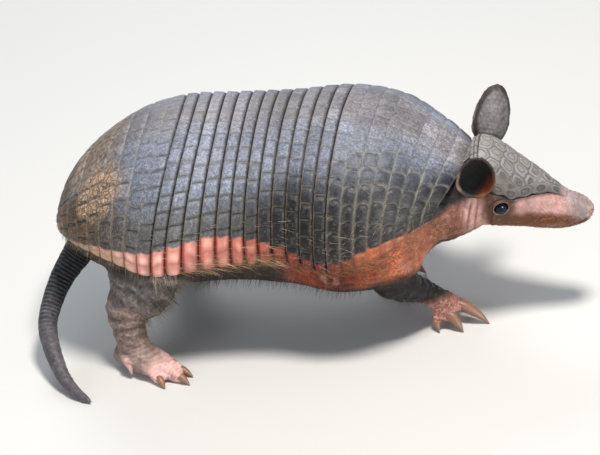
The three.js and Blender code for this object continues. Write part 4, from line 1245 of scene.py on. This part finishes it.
def build_skin():
    """One closed skin over trunk, neck, head, ears, legs and tail. Returns its points and normals."""
    obj = flesh_mesh()
    apply_modifier(obj, "REMESH", mode="VOXEL", voxel_size=SKIN_VOXEL * MM, adaptivity=0)
    refine(obj, front_and_feet)
    write_points(obj.data, keep_under_shell(relaxed(obj.data, 5), NAPE_DEPTH))
    refine(obj, face_detail)
    write_points(obj.data, relaxed(obj.data, 2))
    for ear in EARS:
        cut_with(obj, ear.plug(-EAR_BITE), "DIFFERENCE")
        cut_with(obj, ear.cup(), "UNION")
    normals = read(obj.data.vertex_normals, "vector", 3).astype(float)
    s = painted_skin(coordinates(obj.data), normals)
    points = s.p + normals * s.height[:, None]
    points[:, 2] = np.maximum(points[:, 2], 0)
    write_points(obj.data, points)
    set_mark(obj.data, "paint", np.concatenate([np.clip(s.colour, 0.002, 1), np.ones((len(points), 1))], 1))
    set_mark(obj.data, "marks", stack(s.scaly, s.wet, s.strands, s.down_tail))
    nodes = ["trunk", "neck", "head", "ear_left", "ear_right", "tail_base", "tail_mid", "tail_tip"]
    finish_piece(obj, "skin", skin_material, *nodes, *[node for leg in LEGS for node in leg.nodes])
    return points, normals


# ---- eyes, claws, head shield -------------------------------------------------------------------
SHIELD_ROLL = 1.3  # radius of a shield's rounded border
SHIELD_EAR_GAP = 0.8  # left free round an ear


def build_eyes():
    polar, around = np.linspace(0.03, math.pi - 0.03, 40)[:, None], ring_angles(64)
    for sign, name in ((1, "left"), (-1, "right")):
        middle, out = eye_place(sign)
        across = unit(np.cross(out, [0, 0, 1]))
        up = np.cross(across, out)
        turn = np.cos(around)[:, None] * across + np.sin(around)[:, None] * up
        ball = np.cos(polar)[..., None] * out + np.sin(polar)[..., None] * turn
        rings = middle - out * EYE_SINK + EYE_BALL * ball
        facing = np.broadcast_to(np.cos(polar), rings.shape[:2])
        obj = closed_loft(f"eye_{name}_ball", rings, marks=stack(facing, facing, facing, 1))
        finish_piece(obj, "eye", eye_material, f"eye_{name}")


def build_claws():
    """Curved claws, narrower underneath, faintly ridged, and never under the floor."""
    angle = ring_angles(28)
    for leg in LEGS:
        for i, (_, tip, _, point, wide, high) in enumerate(leg.digits):
            steps = ((-0.12, 0, 1), (0.3, high * 0.45, 0.95), (0.7, high * 0.4, 0.6), (1, 0.1, 0.12))
            rows = [[*(tip + (point - tip) * t + [0, 0, lift]), wide * r, high * r] for t, lift, r in steps]
            rings = limb_rings(rows, 28, 12, round_end=True)
            t = np.linspace(0, 1, len(rings))[:, None]
            centre = rings.mean(1, keepdims=True)
            squeeze = 1 - 0.22 * np.maximum(-np.sin(angle), 0) ** 2
            ridge = 1 + 0.05 * np.cos(angle * 2) + 0.012 * np.sin(angle * 9 + 3 * t)
            rings = centre + (rings - centre) * (squeeze * ridge)[..., None]
            rings[..., 2] = np.maximum(rings[..., 2], 0.02)
            marks = stack(t, np.sin(angle) < -0.3, leg.hind and i == 4, 1.0)
            name = f"{leg.name}_claw_{i + 1}"
            finish_piece(closed_loft("fine_" + name, rings, marks=marks), "claw", claw_material, name)


def shield_patch(name, node, stations, edge, grid, plate, fades=False):
    """A closed plate lying in the top of the head, its outer face divided into scutes."""
    rows, columns = grid
    u, v = np.linspace(*stations, rows)[:, None], np.linspace(0, 1, columns)
    e = edge(u)
    q = e + (math.pi - 2 * e) * v
    u = np.broadcast_to(u, q.shape)
    base = head_point(u, q)
    du = head_point(u + 0.01, q) - head_point(u - 0.01, q)
    dq = head_point(u, q + 0.01) - head_point(u, q - 0.01)
    normal = unit(np.cross(dq, du))
    heart = head_point(u, math.pi / 2) - np.array([0, 0, 40])
    normal = normal * np.where((normal * (base - heart)).sum(-1) > 0, 1, -1)[..., None]
    s = np.cumsum(length(np.diff(base, axis=1, prepend=base[:, :1])), axis=1)
    s = s - s[:, columns // 2:columns // 2 + 1]
    along = np.cumsum(length(np.diff(base, axis=0, prepend=base[:1])), axis=0)[:, columns // 2]
    along = np.broadcast_to(along[:, None], q.shape)
    flank = np.minimum(s - s[:, :1], s[:, -1:] - s)
    border = np.minimum(flank, np.minimum(along, along[-1:] - along))
    ahead = smooth(along[-1:] - 9, along[-1:] - 1, along) if fades else 0 * along
    height, tone, seam, lines, spot = plate(s, along, flank, u)
    height = height * (1 - 0.8 * ahead) - 0.75 * ahead
    low = smooth(0.35, 0.95, np.abs(2 * v - 1)) * smooth(0.0, 8.0, along)
    roll = rolled(border, SHIELD_ROLL)
    outer = base + normal * (0.15 + height - roll)[..., None]
    inner = base - normal * (SHIELD_THICK - roll * 0.2)[..., None]
    marks, extra = stack(seam, tone, lines, low), stack(spot, ahead, 0, 1)
    marks, extra = [np.concatenate([mark, mark[:, ::-1]], 1) for mark in (marks, extra)]
    obj = closed_loft(name, np.concatenate([outer, inner[:, ::-1]], 1), marks=marks, extra=extra)
    for ear in EARS:
        cut_with(obj, ear.plug(SHIELD_EAR_GAP), "DIFFERENCE")
    finish_piece(obj, "head_shield", scute_material, node)


def head_scutes(s, along, flank, u):
    """Scutes scattered over the head and one even row of ovals along its lower edge."""
    side = np.abs(s)
    place = stack(side, along)
    bent = place
    for reach, size, seed in ((3.6, 11.0, 113), (1.0, 3.6, 115)):
        bent = bent + reach * stack(noise(place, size, seed), noise(place, size, seed + 1))
    size, row_height = 10.4, 8.5
    f1, f2, which = cell_pattern(bent[..., 0] * 0.95, bent[..., 1] + 0.25 * side, size, 117, 0.9)
    edge = np.minimum((f2 - f1) * size / 2, (0.56 - f1) * size)
    at = u * EDGE_SCUTES
    oval = np.hypot((at % 1 - 0.5) * 2.05, (flank - 4.2) / 4.3)
    lowest = flank < row_height
    edge = np.where(lowest, (1 - oval) * 4.2, np.minimum(edge, (flank - row_height) * 0.8))
    which = np.where(lowest, hashed(np.floor(at).astype(int) + 9, (s > 0).astype(int), 5), which)
    between = 0.5 * smooth(0.6, 0.0, (f2 - f1) * size) * (1 - lowest)
    patchy = 0.2 + 0.8 * smooth(-0.5, 0.3, noise(place, 7.0, 119))
    seam = np.maximum(hump(0.15, 0.5, edge) * patchy, between)
    ripple = wave(edge, 1.9, 1.1 * noise(place, 3.0, 120))
    lines = smooth(0.0, 1.0, ripple) * smooth(0.5, 1.2, edge) * smooth(4.4, 2.8, edge)
    spot = lowest * smooth(0.72, 0.5, oval) * smooth(0.1, 0.2, which) * smooth(6, 12, along)
    second = smooth(21, 16, flank) * smooth(0.33, 0.2, f1) * smooth(0.35, 0.5, which) * (1 - lowest)
    spot = np.maximum(spot, 0.7 * second * smooth(8, 14, along))
    height = 0.6 * smooth(-0.3, 2.2, edge) - 0.4 - 0.16 * lines + 0.4 * (which - 0.5) - 0.6 * spot
    return height, which, seam, lines, spot


def neck_scutes(s, along, flank, u):
    """Plain scutes side by side."""
    size = 7.0
    b = (s / size) % 1
    edge = np.minimum(b, 1 - b) * size
    which = hashed(np.floor(s / size).astype(int), 7)
    return 0.5 * smooth(0, 1.5, edge) - 0.25, which, 1 - smooth(0.2, 0.8, edge), 0.5, 0


def scalloped_edge(u):
    """The head shield's lower edge, drawn in between one scute of the lowest row and the next."""
    drawn_in = 0.055 * (1 - np.abs(np.sin(np.pi * u * EDGE_SCUTES)))
    return np.radians(spline(SHIELD_EDGE, u)[..., 0]) + drawn_in


def neck_edge(u):
    return NUCHAL_EDGE + 0 * u


def build_head_shield():
    shield_patch("scalp_shield", "head_shield", (SHIELD_FROM, SHIELD_TO), scalloped_edge, (190, 190),
                 head_scutes, True)
    for i, stations in enumerate(NUCHAL, 1):
        shield_patch(f"neck_band_{i}", f"nuchal_band_{i}", stations, neck_edge, (22, 150), neck_scutes)


# ---- bristles -----------------------------------------------------------------------------------
STRAW, PALE_STRAW, RUST = (0.50, 0.35, 0.17), (0.62, 0.55, 0.44), (0.34, 0.15, 0.06)
# the near-black hair colour is partly painted shade, for hairs under the body and on the fore legs
TAN_HAIR, UMBER_AND_SHADE, GREY_HAIR = (0.34, 0.25, 0.15), (0.016, 0.011, 0.008), (0.20, 0.19, 0.18)
TUFT_STEP = 0.001  # a hair's patch on the unwrap is three of these across
# Along the rim: count a side, stations, degrees short of the rim, lean along, out and down, length,
# and the share of each colour.
RIM_HAIRS = [
    (240, (4.3, 6.0), (0.0, 6.0), (1.0, 0.10, 0.20), (12, 24), ((3, STRAW), (2, RUST), (1, PALE_STRAW))),
    (45, (3.95, 4.4), (0.0, 3.0), (0.1, 0.15, 1.0), (7, 13), ((2, PALE_STRAW), (1, TAN_HAIR))),
    (150, (6.0, 9.0), (0.0, 4.0), (0.8, 0.08, 0.3), (7, 13), ((3, RUST), (1, STRAW))),
    (150, (1.2, 4.2), (0.0, 3.0), (-0.2, 0.2, 1.0), (4, 8), ((1, STRAW), (1, TAN_HAIR))),
    (110, (3.9, 7.4), (5.0, 26.0), (1.0, 0.03, 0.12), (9, 20), ((3, PALE_STRAW), (1, STRAW))),
    (120, (7.0, 9.8), (8.0, 45.0), (-0.6, 0.22, 0.5), (3, 6), ((1, STRAW), (1, PALE_STRAW))),
    (520, (0.4, 3.2), (2.0, 75.0), (-0.8, 0.22, 0.5), (2.5, 5), ((1, TAN_HAIR), (1, UMBER_AND_SHADE), (1, STRAW))),
]


def unwrap(p):
    """Each point's place on an unwrap of the skin: the body slit along its belly, each leg in a tile."""
    x, y, z = p.T
    middle = bend(x, 0 * x, 0 * x)[:, 1]
    turn = np.arctan2(y - middle, z - 95) / TAU + 0.5
    uv = stack(0.02 + 0.56 * turn, 0.02 + 0.96 * (x + 215) / 440)
    for k, leg in enumerate(LEGS):
        station, reach, turn = along_limb(p, leg.limb)
        tile = np.array([0.61 + 0.19 * (k % 2), 0.02 + 0.49 * (k // 2)])
        spot = tile + stack(0.17 * (turn / TAU + 0.5), 0.45 * np.clip(station / 5, 0, 1))
        uv = np.where(((reach < 1.5) & (z < 74))[:, None], spot, uv)
    return np.clip(uv, 0.01, 0.99)


def bristles(name, roots, aims, lengths, thick, tones, curl, seed):
    """Tapered three-sided hairs, closed at the root, that curl on the way to the tip."""
    count, rng = len(roots), np.random.default_rng(seed)
    aims = unit(aims)
    sway = rng.normal(size=(count, 3)) * curl
    t = np.array([0, 0.4, 0.75, 1.0])[:, None]
    line = roots[:, None] + lengths[:, None, None] * (aims[:, None] * t + sway[:, None] * t**2)
    line[..., 2] = np.maximum(line[..., 2], 0.3)
    side = unit(np.cross(aims, rng.normal(size=(count, 3))))
    top = np.cross(side, aims)
    angle = ring_angles(3)[:, None]
    ring = np.cos(angle) * side[:, None] + np.sin(angle) * top[:, None]
    girth = np.array([1, 0.8, 0.45])[:, None, None] * thick[:, None, None, None]
    around = (line[:, :3, None] + ring[:, None] * girth).reshape(count, 9, 3)
    points = np.concatenate([around, line[:, 3:]], 1)
    first = 10 * np.arange(count)[:, None]
    quads = [[a, (a + 1) % 3 + a // 3 * 3, (a + 1) % 3 + a // 3 * 3 + 3, a + 3] for a in range(6)]
    caps = [[0, 2, 1], [6, 7, 9], [7, 8, 9], [8, 6, 9]]
    faces = [(first[..., None] + np.array(f)).reshape(-1, np.shape(f)[1]) for f in (quads, caps)]
    shade = np.array([0.55, 0.55, 0.55, 0.9, 0.9, 0.9, 1.1, 1.1, 1.1, 1.2])[:, None]
    paint = np.clip(np.concatenate([tones[:, None] * shade, np.ones((count, 10, 1))], -1), 0, 1)
    obj = make_mesh(name, points.reshape(-1, 3), faces, {"paint": paint})
    corner = np.array([[i - 1, j - 1] for j in range(3) for i in range(3)] + [[0, 1.5]]) * TUFT_STEP
    spots = (unwrap(roots)[:, None] + corner).reshape(-1, 2)
    which = read(obj.data.loops, "vertex_index", 1, np.int32)[:, 0]
    layer = obj.data.uv_layers.new(name="OFBake")
    layer.data.foreach_set("uv", spots[which].astype(np.float32).ravel())
    finish_piece(obj, "skin", bristle_material)


def toned(rng, count, shares):
    """A colour for each hair, picked from pairs of share and colour, each a little off its own."""
    chances, colours = [np.array(part) for part in zip(*shares)]
    picked = rng.choice(len(shares), count, p=chances / chances.sum())
    return colours[picked] * rng.uniform(0.7, 1.3, (count, 1))


def build_rim_bristles():
    """Straw-coloured hairs along the lower rim of the shell and across its lowest plates."""
    rng = np.random.default_rng(41)
    sets = []
    for count, stations, short, lean, lengths, shares in RIM_HAIRS:
        for side in (-1, 1):
            u = rng.uniform(*stations, count)
            q = side * (ARCH - np.radians(rng.uniform(*short, count)))
            on, out = shell_point(u, q), shell_normal(u, q)
            ahead = unit(shell_point(u + 0.05, q) - shell_point(u - 0.05, q))
            aim = lean[0] * ahead + lean[1] * out + rng.normal(0, 0.13, (count, 3))
            aim[:, 2] -= lean[2] * rng.uniform(0.4, 1.5, count)
            sets.append((on - out * 0.3, aim, rng.uniform(*lengths, count), rng.uniform(0.07, 0.12, count),
                         toned(rng, count, shares)))
    bristles("rim_bristles", *[np.concatenate(part) for part in zip(*sets)], 0.15, 42)


def build_skin_bristles(points, normals):
    """Hairs of the belly, the legs and the face, rooted on the skin."""
    rng = np.random.default_rng(51)
    x, _, z = points.T

    def grow(name, weight, count, lean, out_lean, lengths, thick, shares, curl, seed):
        at = rng.choice(len(points), count, p=weight / weight.sum())
        out = normals[at]
        aim = np.array(lean) + out_lean * out + rng.normal(0, 0.2, (count, 3))
        into = np.minimum((unit(aim) * out).sum(-1) - 0.12, 0)
        aim = aim - into[:, None] * out * length(aim)[:, None]
        bristles(name, points[at] - 0.25 * out, aim, rng.uniform(*lengths, count),
                 rng.uniform(*thick, count), toned(rng, count, shares), curl, seed)

    on_leg = [along_limb(points, leg.limb)[1] < 1.5 for leg in LEGS]
    hind, fore = on_leg[0] | on_leg[1], on_leg[2] | on_leg[3]
    belly = smooth(-125, -105, x) * smooth(60, 40, x) * smooth(86, 76, z) * smooth(40, 48, z)
    sides = smooth(0.15, -0.2, normals[:, 2]) * (1 - 0.7 * smooth(-0.85, -1, normals[:, 2]))
    grow("belly_bristles", belly * sides * ~hind * ~fore, 1500, (-0.35, 0, -1.0), 0.3, (5, 11),
         (0.06, 0.10), ((7, UMBER_AND_SHADE), (2, TAN_HAIR)), 0.16, 52)
    front = smooth(0.0, 0.5, normals[:, 0]) + 0.12
    thigh = hind * smooth(26, 36, z) * smooth(80, 72, z) * front**2
    grow("thigh_bristles", thigh, 900, (0.35, 0, -0.9), 0.45, (5, 10), (0.06, 0.10),
         ((3, TAN_HAIR), (2, STRAW), (3, UMBER_AND_SHADE)), 0.2, 53)
    forearm = fore * smooth(22, 28, z) * smooth(74, 66, z)
    grow("forearm_bristles", forearm, 1200, (0.3, 0, -1.0), 0.25, (3, 6), (0.045, 0.075),
         ((2, GREY_HAIR), (9, UMBER_AND_SHADE)), 0.12, 54)
    hx, across, hz, _, _ = head_place(points)
    jaw = smooth(146, 158, hx) * smooth(216, 205, hx) * smooth(102, 94, hz) * smooth(4, 10, np.abs(across))
    throat = smooth(118, 126, hx) * smooth(150, 140, hx) * smooth(100, 92, hz)
    grow("face_bristles", jaw * (x > 140) + 0.15 * throat, 1100, (-0.9, 0, -0.35), 0.18, (1.6, 3.4),
         (0.045, 0.07), ((1, STRAW), (1, RUST), (1, PALE_STRAW)), 0.1, 55)


# ---- materials ----------------------------------------------------------------------------------
TAIL_RING = 3.4  # millimetres from one ring of the tail to the next


class Paint:
    """A small helper that writes a material's nodes as nested calls."""

    def __init__(self, name, roughness=0.5, **sockets):
        self.material = bpy.data.materials.new(name)
        self.material.use_nodes = True
        self.tree = self.material.node_tree
        self.shader = self.tree.nodes["Principled BSDF"]
        self.shader.inputs["Roughness"].default_value = roughness
        for socket, value in sockets.items():
            self.shader.inputs[socket.replace("_", " ")].default_value = value
        self.place = self.node("TexCoord").outputs["Object"]

    def link(self, value, socket):
        if isinstance(value, bpy.types.NodeSocket):
            self.tree.links.new(value, socket)
        elif isinstance(value, tuple):
            socket.default_value = (*value, 1)
        else:
            socket.default_value = value

    def node(self, kind, *values, **settings):
        """A new node with these settings and with these values in its first inputs."""
        node = self.tree.nodes.new("ShaderNode" + kind)
        for key, value in settings.items():
            setattr(node, key, value)
        for value, socket in zip(values, node.inputs):
            self.link(value, socket)
        return node

    def attribute(self, name):
        """The colour and the alpha of a mark."""
        node = self.node("Attribute", attribute_name=name)
        return node.outputs["Color"], node.outputs["Alpha"]

    def split(self, name):
        """The red, green, blue and alpha of a mark."""
        colour, alpha = self.attribute(name)
        return (*self.node("SeparateColor", colour).outputs[:3], alpha)

    def texture(self, kind, size, stretch, output, inputs, **settings):
        """A pattern with features about `size` millimetres across."""
        mapping = self.node("Mapping", self.place)
        mapping.inputs["Scale"].default_value = [1000 / size / k for k in stretch]
        node = self.node(kind, mapping.outputs[0], **settings)
        for key, value in {"Scale": 1.0, **inputs}.items():
            node.inputs[key].default_value = value
        return node.outputs[output]

    def noise(self, size, detail=3.0, stretch=(1, 1, 1), distortion=0.0):
        """Noise from 0 to 1."""
        return self.texture("TexNoise", size, stretch, "Fac", {"Detail": detail, "Distortion": distortion})

    def cells(self, size, feature="DISTANCE_TO_EDGE"):
        return self.texture("TexVoronoi", size, (1, 1, 1), "Distance", {}, feature=feature)

    def axis(self, which):
        """Where a point lies along the body, across it or up, in metres."""
        return self.node("SeparateXYZ", self.place).outputs[which]

    def range(self, value, low, high, to_low=0.0, to_high=1.0):
        limits = (low, high, to_low, to_high)
        return self.node("MapRange", value, *limits, interpolation_type="SMOOTHSTEP").outputs[0]

    def math(self, operation, a, b=0.0):
        return self.node("Math", a, b, operation=operation).outputs[0]

    def times(self, first, *others):
        for other in others:
            first = self.math("MULTIPLY", first, other)
        return first

    def plus(self, first, *others):
        for other in others:
            first = self.math("ADD", first, other)
        return first

    def mix(self, factor, a, b, blend="MIX"):
        node = self.node("Mix", factor, data_type="RGBA", blend_type=blend)
        self.link(a, node.inputs[6])
        self.link(b, node.inputs[7])
        return node.outputs[2]

    def tint(self, colour, by):
        return self.mix(1.0, colour, by, "MULTIPLY")

    def over(self, colour, *layers):
        """Lays tones over a colour; each layer is a tone and the masks that say how far it covers."""
        for tone, *masks in layers:
            colour = self.mix(self.times(*masks), colour, tone)
        return colour

    def dress(self, colour, roughness=None, height=None, distance=0.0):
        """Joins up the shader; the surface is raised by height times distance, in millimetres."""
        self.link(colour, self.shader.inputs["Base Color"])
        if roughness is not None:
            self.link(roughness, self.shader.inputs["Roughness"])
        if height is not None:
            bump = self.node("Bump")
            bump.inputs["Distance"].default_value = distance * MM
            self.link(height, bump.inputs["Height"])
            self.link(bump.outputs[0], self.shader.inputs["Normal"])
        return self.material


def make_shell_material():
    p = Paint("shell_horn", Specular_IOR_Level=0.4)
    seam, pit_shade, _, groove_shadow = p.split("marks")
    pink, gap_shade, worn, lip = p.split("zones")
    hide, down = p.attribute("hide")
    fine, medium, streak = p.noise(1.5), p.noise(5.0), p.noise(2.2, stretch=(1, 1, 3))
    strokes = p.noise(0.9, 4.0, stretch=(1, 1, 3.5), distortion=0.6)
    grain = p.noise(0.9, 4.0, distortion=0.8)
    low, along = p.range(down, 0.35, 0.75), p.axis(0)
    straw = p.times(p.range(along, -0.095, -0.150), p.range(down, 0.3, 0.75))
    horn = p.tint(hide, p.mix(p.range(streak, 0.3, 0.72), (0.74, 0.75, 0.78), (1.28, 1.29, 1.31)))
    horn = p.tint(horn, p.mix(p.range(fine, 0.35, 0.7), (0.84, 0.85, 0.86), (1.17, 1.16, 1.13)))
    horn = p.over(
        horn,
        # dust on the back, dirt and bits of straw on the rump, muddy blotches low down
        ((0.175, 0.155, 0.125), p.range(down, 0.4, 0.1), p.range(medium, 0.45, 0.75, 0.0, 0.55)),
        ((0.030, 0.024, 0.018), p.range(along, -0.105, -0.150),
         p.range(p.noise(3.4, 4.0), 0.46, 0.66, 0.0, 0.8), p.range(worn, 0.0, 0.6, 1.0, 0.25)),
        ((0.27, 0.20, 0.12), straw, p.range(strokes, 0.56, 0.68, 0.0, 0.65)),
        ((0.012, 0.010, 0.009), straw, p.range(strokes, 0.46, 0.36, 0.0, 0.8)),
        ((0.085, 0.072, 0.055), low, p.range(p.noise(2.6, 4.0), 0.52, 0.66, 0.0, 0.55)),
    )
    horn = p.tint(horn, p.mix(p.range(grain, 0.34, 0.68), (0.66, 0.66, 0.68), (1.4, 1.39, 1.36)))
    # colour of the painted shade in the pits, darker low down
    hollow = p.mix(low, (0.05, 0.05, 0.06), (0.010, 0.010, 0.012))
    pale = p.mix(low, (0.21, 0.195, 0.18), (0.17, 0.135, 0.085))
    cracks = p.math("MAXIMUM", p.range(p.cells(5.2), 0.02, 0.09, 0.85, 0.0),
                    p.range(p.cells(2.1), 0.02, 0.12, 0.45, 0.0))
    horn = p.over(
        horn,
        (hollow, pit_shade, p.range(fine, 0.2, 0.7, 0.45, 0.85)),
        (pale, seam, p.range(medium, 0.25, 0.7, 0.35, 0.85)),
        ((0.17, 0.12, 0.08), lip, p.range(fine, 0.3, 0.7, 0.3, 0.8)),
        ((0.05, 0.035, 0.025), worn, cracks),
    )
    flesh = p.over(
        hide,
        ((0.86, 0.56, 0.48), p.range(fine, 0.5, 0.85, 0.0, 0.35)),
        # painted shade in the gaps between lobes
        (p.tint(hide, (0.58, 0.30, 0.24)), gap_shade),
    )
    # painted shadow, with some dirt, on fore edges under the piece ahead and on the inner face
    dark = p.mix(pink, (0.010, 0.007, 0.007), p.tint(hide, (0.34, 0.14, 0.10)))
    colour = p.over(horn, (flesh, pink), (dark, groove_shadow, 0.95))
    bumps = p.plus(fine, p.times(p.noise(0.6, 2.0), 0.4))
    return p.dress(colour, p.range(streak, 0.3, 0.8, 0.42, 0.62), bumps, 0.22)


def make_skin_material():
    p = Paint("bare_skin", Subsurface_Weight=0.12, Subsurface_Scale=0.004, Specular_IOR_Level=0.3)
    paint, _ = p.attribute("paint")
    scaly, wet, strands, down_tail = p.split("marks")
    fine, medium, pores = p.noise(1.3), p.noise(4.5), p.noise(0.55, 2.0)
    swirl = p.noise(4.2, 5.0, distortion=2.6)
    colour = p.tint(paint, p.mix(p.range(medium, 0.3, 0.7), (0.82, 0.8, 0.78), (1.18, 1.18, 1.18)))
    colour = p.tint(colour, p.mix(p.range(fine, 0.3, 0.72), (0.88, 0.86, 0.85), (1.12, 1.13, 1.13)))
    pale, deep = ((1.35, 1.9, 2.1), 0.53, 0.62, 0.0, 0.7), ((0.55, 0.36, 0.30), 0.47, 0.38, 0.0, 0.8)
    for by, *limits in (pale, deep):
        colour = p.over(colour, (p.tint(colour, by), strands, p.range(swirl, *limits)))
    spots, spotted = p.cells(4.6, "F1"), p.times(scaly, p.range(medium, 0.3, 0.5, 0.6, 1.0))
    colour = p.over(
        colour,
        (p.tint(colour, (0.66, 0.62, 0.60)), spotted, p.range(spots, 0.58, 0.72, 0.0, 0.8)),
        (p.tint(colour, (1.28, 1.25, 1.22)), spotted, p.range(spots, 0.62, 0.48, 0.0, 0.5)),
        (p.tint(colour, (0.74, 0.78, 0.86)), spotted, p.range(spots, 0.46, 0.30, 0.0, 1.0)),
    )
    rings = p.math("SINE", p.times(down_tail, TAU * 100 / TAIL_RING))
    rings = p.times(rings, p.range(p.axis(2), 0.022, 0.050))
    # the rings' crests are painted lighter and bluer, partly a painted highlight
    for crest, by in ((1.0, (1.7, 1.8, 1.9)), (-1.0, (0.4, 0.4, 0.4))):
        colour = p.over(colour, (p.tint(colour, by), p.range(rings, 0.0, crest, 0.0, 0.8)))
    gloss = p.math("SUBTRACT", p.range(fine, 0.3, 0.7, 0.42, 0.62), p.times(wet, 0.3))
    scales = p.times(scaly, p.range(spots, 0.62, 0.2, 0.0, 2.4))
    bumps = p.plus(fine, p.times(pores, 0.5), scales, p.times(rings, 1.6), p.times(strands, swirl))
    return p.dress(colour, gloss, bumps, 0.25)


def make_scute_material():
    p = Paint("head_scutes", Specular_IOR_Level=0.4)
    seam, tone, lines, low = p.split("marks")
    spot, ahead, _, _ = p.split("extra")
    fine, medium = p.noise(1.4), p.noise(7.0)
    colour = p.over(
        p.mix(tone, (0.19, 0.19, 0.20), (0.27, 0.26, 0.255)),
        ((0.21, 0.17, 0.13), p.range(medium, 0.4, 0.75, 0.0, 0.6)),
        ((0.38, 0.36, 0.34), p.range(fine, 0.48, 0.75, 0.0, 0.5)),
        ((0.100, 0.088, 0.078), lines, 0.8),
        ((0.085, 0.072, 0.060), low, 0.75),
        ((0.060, 0.049, 0.042), seam, 0.85),
        ((0.050, 0.043, 0.046), spot, 0.75),
        ((0.40, 0.27, 0.25), ahead, 0.9),
    )
    bumps = p.plus(fine, p.times(p.noise(0.6, 2.0), 0.4))
    return p.dress(colour, p.range(fine, 0.3, 0.7, 0.42, 0.64), bumps, 0.2)


def make_eye_material():
    p = Paint("eye_glass", roughness=0.05, Specular_IOR_Level=0.24)
    facing, _, _, _ = p.split("marks")
    return p.dress(p.mix(p.range(facing, 0.80, 0.93), (0.004, 0.004, 0.006), (0.002, 0.004, 0.012)))


def make_claw_material():
    p = Paint("claw_horn", roughness=0.42, Subsurface_Weight=0.1, Subsurface_Scale=0.002)
    along, lower, pink, _ = p.split("marks")
    streak = p.noise(1.2)
    colour = p.over(
        p.mix(p.range(along, 0.0, 0.5), (0.21, 0.088, 0.058), (0.25, 0.125, 0.066)),
        ((0.36, 0.215, 0.13), p.range(streak, 0.4, 0.75, 0.0, 0.6)),
        ((0.16, 0.10, 0.07), lower, 0.4),
        ((0.62, 0.41, 0.35), pink, 0.85),
    )
    return p.dress(colour, None, streak, 0.12)


def make_bristle_material():
    p = Paint("bristle", Specular_IOR_Level=0.3)
    return p.dress(p.attribute("paint")[0])


def make_floor_material():
    return Paint("floor_matte", roughness=0.9).dress((0.62, 0.61, 0.59))


# ---- floor, light and camera --------------------------------------------------------------------
VIEW_AZIMUTH, VIEW_HEIGHT, VIEW_ROLL = math.radians(9.5), math.radians(29.5), math.radians(-8)
VIEW_AIM, VIEW_DISTANCE = (0, 0, 74), 1700  # millimetres
FOCAL_OVER_WIDTH = 3.74
SKY, SKY_STRENGTH = (0.8, 0.86, 0.95, 1), 0.36


def add_floor():
    bpy.ops.mesh.primitive_plane_add(size=30)
    floor = bpy.context.object
    floor.name = "floor"
    floor.data.materials.append(make_floor_material())


def add_light(name, place, aim, size, watts, colour):
    lamp = bpy.data.lights.new(name, "AREA")
    lamp.shape = "DISK"
    lamp.size = size
    lamp.energy = watts
    lamp.color = colour
    obj = bpy.data.objects.new(name, lamp)
    obj.location = place
    obj.rotation_euler = (Vector(aim) - Vector(place)).to_track_quat("-Z", "Y").to_euler()
    bpy.context.scene.collection.objects.link(obj)
    return obj


def add_lights():
    add_light("key", (0.35, -0.45, 1.6), (0, 0, 0.08), 0.35, 34, (1.0, 0.97, 0.92))
    fill = add_light("fill", (-1.2, -1.3, 0.7), (0, 0, 0.08), 1.4, 9, (0.86, 0.92, 1.0))
    fill.visible_glossy = False
    add_light("rim", (-0.5, 1.4, 1.3), (0, 0, 0.1), 0.9, 14, (0.9, 0.95, 1.0))
    spark = add_light("eye_spark", (1.1, -1.3, 0.25), (0.157, -0.04, 0.107), 0.5, 20, (1.0, 1.0, 1.0))
    spark.visible_diffuse = False
    world = bpy.data.worlds.new("studio")
    world.use_nodes = True
    world.node_tree.nodes["Background"].inputs["Color"].default_value = SKY
    world.node_tree.nodes["Background"].inputs["Strength"].default_value = SKY_STRENGTH
    bpy.context.scene.world = world


def add_camera():
    """Looks from the animal's right, a little from behind and from above, and leans to one side."""
    sideways, tilt = Vector((math.cos(VIEW_AZIMUTH), math.sin(VIEW_AZIMUTH), 0)), Vector((0, 0, 1))
    ahead = tilt.cross(sideways)
    up = ahead * math.sin(VIEW_HEIGHT) + tilt * math.cos(VIEW_HEIGHT)
    look = ahead * math.cos(VIEW_HEIGHT) - tilt * math.sin(VIEW_HEIGHT)
    rolled_right = sideways * math.cos(VIEW_ROLL) + up * math.sin(VIEW_ROLL)
    rolled_up = up * math.cos(VIEW_ROLL) - sideways * math.sin(VIEW_ROLL)
    camera = bpy.data.cameras.new("camera")
    camera.lens = FOCAL_OVER_WIDTH * camera.sensor_width
    camera.clip_end = 100
    obj = bpy.data.objects.new("camera", camera)
    place = Vector(VIEW_AIM) * MM + Vector(SHIFT) - look * VIEW_DISTANCE * MM
    axes = Matrix((rolled_right, rolled_up, -look)).transposed().to_4x4()
    obj.matrix_world = Matrix.Translation(place) @ axes
    bpy.context.scene.collection.objects.link(obj)
    bpy.context.scene.camera = obj


# ---- the whole ----------------------------------------------------------------------------------
shell_material = make_shell_material()
build_shell()
bristle_material = make_bristle_material()
skin_material = make_skin_material()
scute_material = make_scute_material()
eye_material = make_eye_material()
claw_material = make_claw_material()
skin_points, skin_normals = build_skin()
build_rim_bristles()
build_skin_bristles(skin_points, skin_normals)
build_eyes()
build_claws()
build_head_shield()
add_floor()
add_lights()
add_camera()
bpy.context.scene.view_settings.view_transform = "Standard"
